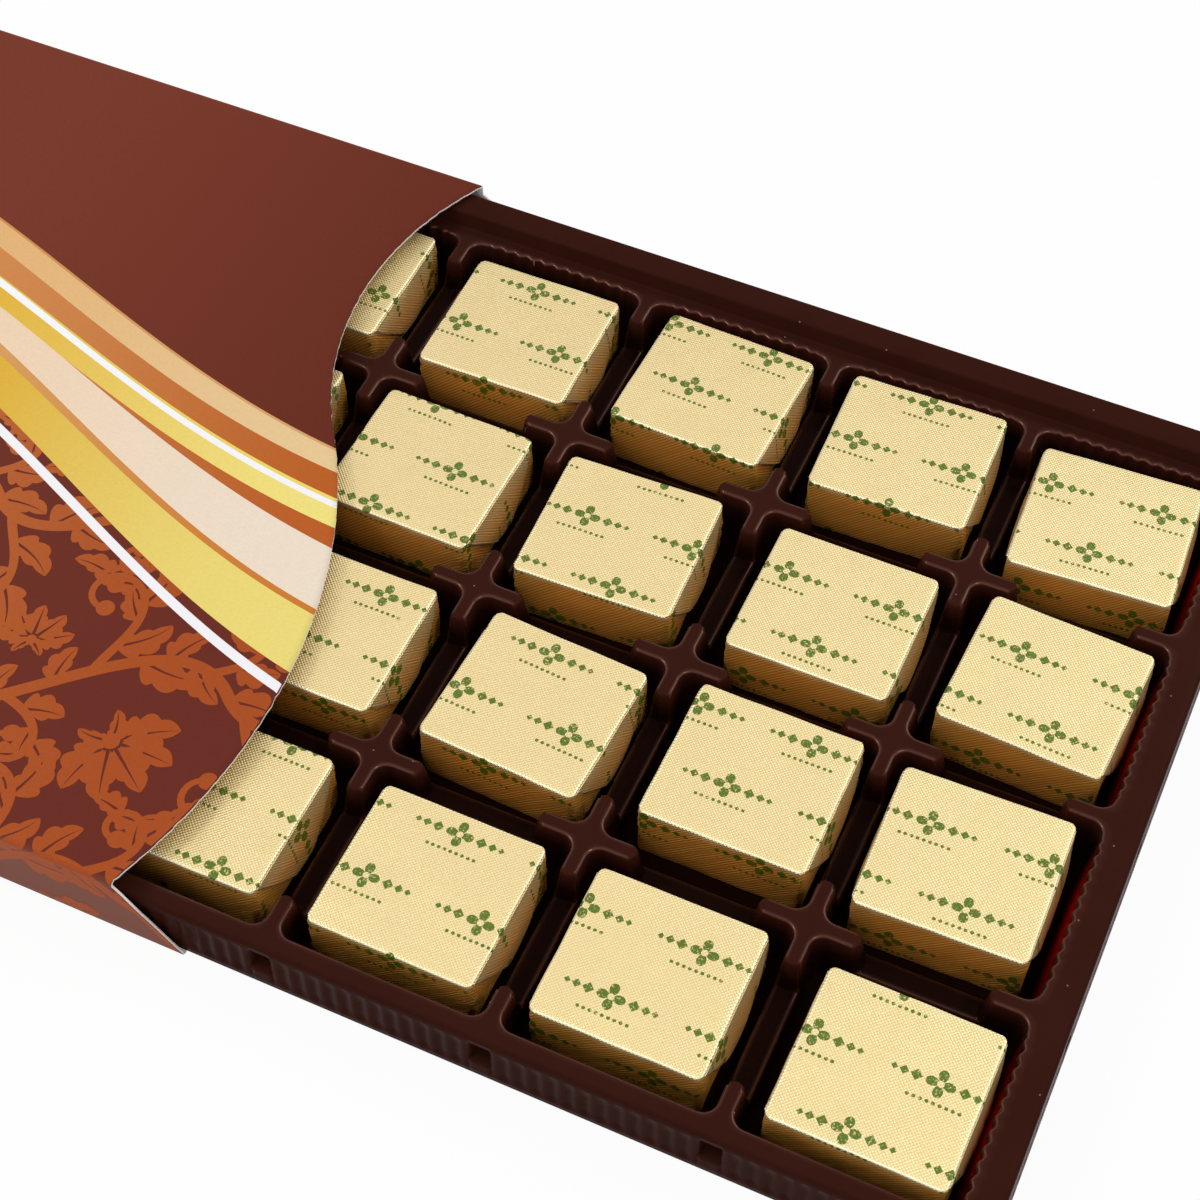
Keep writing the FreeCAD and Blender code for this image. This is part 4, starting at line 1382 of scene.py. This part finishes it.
def wrinkled(p, half_x, half_y, height, seed):
    """A point of the wrapper, moved by the swell of its sides and by wrinkles."""
    outward = Vector((p.x / half_x, p.y / half_y, 0))
    on_side = min(1.0, max(abs(outward.x), abs(outward.y)) ** SIDE_POWER)
    near_corner = min(1.0, abs(outward.x * outward.y)) ** CORNER_POWER
    near_top = min(1.0, p.z / height) ** TOP_POWER
    shove = FOIL_SWELL * math.sin(math.pi * p.z / height)
    shove += noise.noise(p * WRINKLE_SCALE + seed) * WRINKLE
    shove += noise.noise(p * CRINKLE_SCALE + seed) * CRINKLE * near_corner
    hold = min(1.0, (height - p.z) / TOP_HOLD_RUN + TOP_HOLD_SHARE)
    bent = p + outward.normalized() * shove * on_side * hold
    sink = (noise.noise(p * SINK_SCALE - seed) - SINK_SHARE) * WRINKLE * near_top
    bent.z = max(0.0, min(height, bent.z + sink))
    return bent


def foil_size(row, column):
    """Half length, half width and height of a wrapper's CAD node."""
    low, high = node_box(foil_node(row, column))
    return (high.x - low.x) / 2, (high.y - low.y) / 2, high.z - low.z


def foil_place(row, column):
    """Where a wrapped square lies in its cell, and how it is turned."""
    low, high = node_box(foil_node(row, column))
    along, across, turn = FOIL_POSES.get((row, column), (0.0, 0.0, 0.0))
    centre = (low + high) / 2 + Vector((along * PITCH_X, across * PITCH_Y, 0.0))
    centre.z = low.z
    return centre, Matrix.Rotation(turn, 3, "Z")


def build_chocolate(row, column, body, material):
    """The square inside its wrapper."""
    half_x, half_y, height = foil_size(row, column)
    points, faces = parcel(half_x - CORE_GAP, half_y - CORE_GAP, height - 2 * CORE_GAP)
    centre, spin = foil_place(row, column)
    centre.z += CORE_GAP
    placed = [centre + spin @ p for p in points]
    made = mesh_object(f"square_r{row}_c{column}", placed, faces, [material])
    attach(made, body)
    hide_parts(f"chocolate_r{row}_c{column}")


def keep_shares(made, name, shares):
    """Keep one share per vertex with the mesh, for its material."""
    made.data.attributes.new(name, "FLOAT", "POINT").data.foreach_set("value", shares)


def build_foil(row, column, body, material):
    half_x, half_y, height = foil_size(row, column)
    half_y += FOIL_LOOSE
    points, faces = parcel(half_x, half_y, height)
    uvs = wrap_uvs(points, faces, height)
    # Painted shade on the sides, from just below the top edge down
    sides = [smooth_share((height - p.z - SIDE_START) / SIDE_RUN) for p in points]
    # Painted highlight along the top edges
    painted_highlights = []
    for p in points:
        off_edge = min(half_x - abs(p.x), half_y - abs(p.y)) + height - p.z
        painted_highlights.append(PAINTED_HIGHLIGHT_SHARE * smooth_share(2 - off_edge / PAINTED_HIGHLIGHT_RUN))
    for side in (-1, 1):
        count = len(points)
        flap, plate, plate_uvs, plate_painted_highlights = end_flap(side, half_x, half_y, height)
        points += flap
        faces += [tuple(count + k for k in face) for face in plate]
        uvs += plate_uvs
        # Painted shade on the flaps, deeper further down
        sides += [FLAP_SHADE_SHARE * smooth_share((height - p.z) / FLAP_SHADE_RUN) for p in flap]
        painted_highlights += plate_painted_highlights
    # Another place in the noise for every square, and another place on it for the print
    seed = Vector((row * 17.0, column * 29.0, row * column * 7.0))
    print_x = noise.noise(seed * 0.37) * PRINT_WIDTH * 2
    print_y = noise.noise(seed * 0.53 + Vector((5, 3, 1))) * PRINT_HEIGHT * 2
    uvs = [(u + print_x, v + print_y) for u, v in uvs]
    centre, spin = foil_place(row, column)
    placed = [centre + spin @ wrinkled(p, half_x, half_y, height, seed) for p in points]
    made = mesh_object(f"foil_r{row}_c{column}", placed, faces, [material], "wrap", uvs)
    keep_shares(made, "side", sides)
    keep_shares(made, "painted_highlight", painted_highlights)
    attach(made, body)
    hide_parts(foil_node(row, column))


# Camera, light and floor
CAMERA_PLACE = Vector((181.68, -210.76, 330.07))
CAMERA_TARGET = Vector((84.84, 2.615, 10.95))
CAMERA_LENS = 71.49
CAMERA_SENSOR = 36.0
CAMERA_NEAR = 10.0
FLOOR_SIZE = 6000.0
FLOOR_GLOW_SHARE = 0.93
WORLD_STRENGTH = 0.56
LAMPS = (
    # name, place, size, power in watts
    ("key", Vector((-560, -260, 640)), 600.0, 1.3),
    ("back", Vector((520, 620, 480)), 600.0, 1.9),
    ("spark_right", Vector((520, -60, 620)), 90.0, 1.0),
    ("spark_left", Vector((-500, -200, 600)), 90.0, 1.1),
)


def aim(made, place):
    """Put a camera or lamp at a place, looking at the camera's target."""
    made.location = place * MM
    made.rotation_euler = (CAMERA_TARGET - place).to_track_quat("-Z", "Y").to_euler()


def build_camera():
    data = bpy.data.cameras.new("camera")
    data.lens = CAMERA_LENS
    data.sensor_width = CAMERA_SENSOR
    data.clip_start = CAMERA_NEAR * MM
    camera = scene_object("camera", data)
    aim(camera, CAMERA_PLACE)
    bpy.context.scene.camera = camera


def seen_directly(tree):
    """1 for camera, glossy and transmission rays, and 0 for diffuse light."""
    path = tree.nodes.new("ShaderNodeLightPath")
    total = path.outputs["Is Camera Ray"]
    for name in ("Is Glossy Ray", "Is Transmission Ray"):
        join = tree.nodes.new("ShaderNodeMath")
        join.operation = "MAXIMUM"
        tree.links.new(total, join.inputs[0])
        tree.links.new(path.outputs[name], join.inputs[1])
        total = join.outputs[0]
    return total


def build_floor():
    half = FLOOR_SIZE / 2
    corners = [(-half, -half, 0), (half, -half, 0), (half, half, 0), (-half, half, 0)]
    graph = Graph("floor_white")
    material = graph.finish({
        "Base Color": (0.9, 0.9, 0.9, 1),
        "Roughness": 1.0,
        "Specular IOR Level": 0.0,
    })
    glow = graph.node("Emission", {"Color": (1, 1, 1, 1), "Strength": 1.0})
    share = graph.math("MULTIPLY", seen_directly(graph.tree), FLOOR_GLOW_SHARE)
    blend = graph.node("MixShader", {0: share, 1: graph.shader.outputs[0], 2: glow.outputs[0]})
    graph.feed(graph.tree.nodes["Material Output"].inputs["Surface"], blend.outputs[0])
    floor = mesh_object("floor", corners, [(0, 1, 2, 3)], [material])


def build_world():
    world = bpy.data.worlds.new("studio")
    bpy.context.scene.world = world
    world.use_nodes = True
    tree = world.node_tree
    background = tree.nodes["Background"]
    background.inputs["Color"].default_value = (1, 1, 1, 1)
    strength = tree.nodes.new("ShaderNodeMapRange")
    strength.inputs["To Min"].default_value = WORLD_STRENGTH
    strength.inputs["To Max"].default_value = 1.0
    tree.links.new(seen_directly(tree), strength.inputs["Value"])
    tree.links.new(strength.outputs[0], background.inputs["Strength"])


def build_lamps():
    for name, place, size, power in LAMPS:
        data = bpy.data.lights.new(name, "AREA")
        data.size = size * MM
        data.energy = power
        aim(scene_object(name, data), place)


def body_of(node):
    """The body that carries a CAD node."""
    bodies = frame["record"]["behaviour"]["bodies"]
    return next(body for body, nodes in bodies.items() if node in nodes)


build_camera()
build_floor()
build_world()
build_lamps()
build_tray(tray_plastic())
build_sleeve(sleeve_print(), raw_board())
build_ornament(sleeve_ink())
build_white_line(white_ink())
foil_material = gold_foil()
chocolate_material = chocolate()
for row in range(1, ROWS + 1):
    for column in range(1, COLUMNS + 1):
        build_foil(row, column, body_of(foil_node(row, column)), foil_material)
        build_chocolate(row, column, body_of(foil_node(row, column)), chocolate_material)

bpy.context.scene.view_settings.view_transform = "Standard"
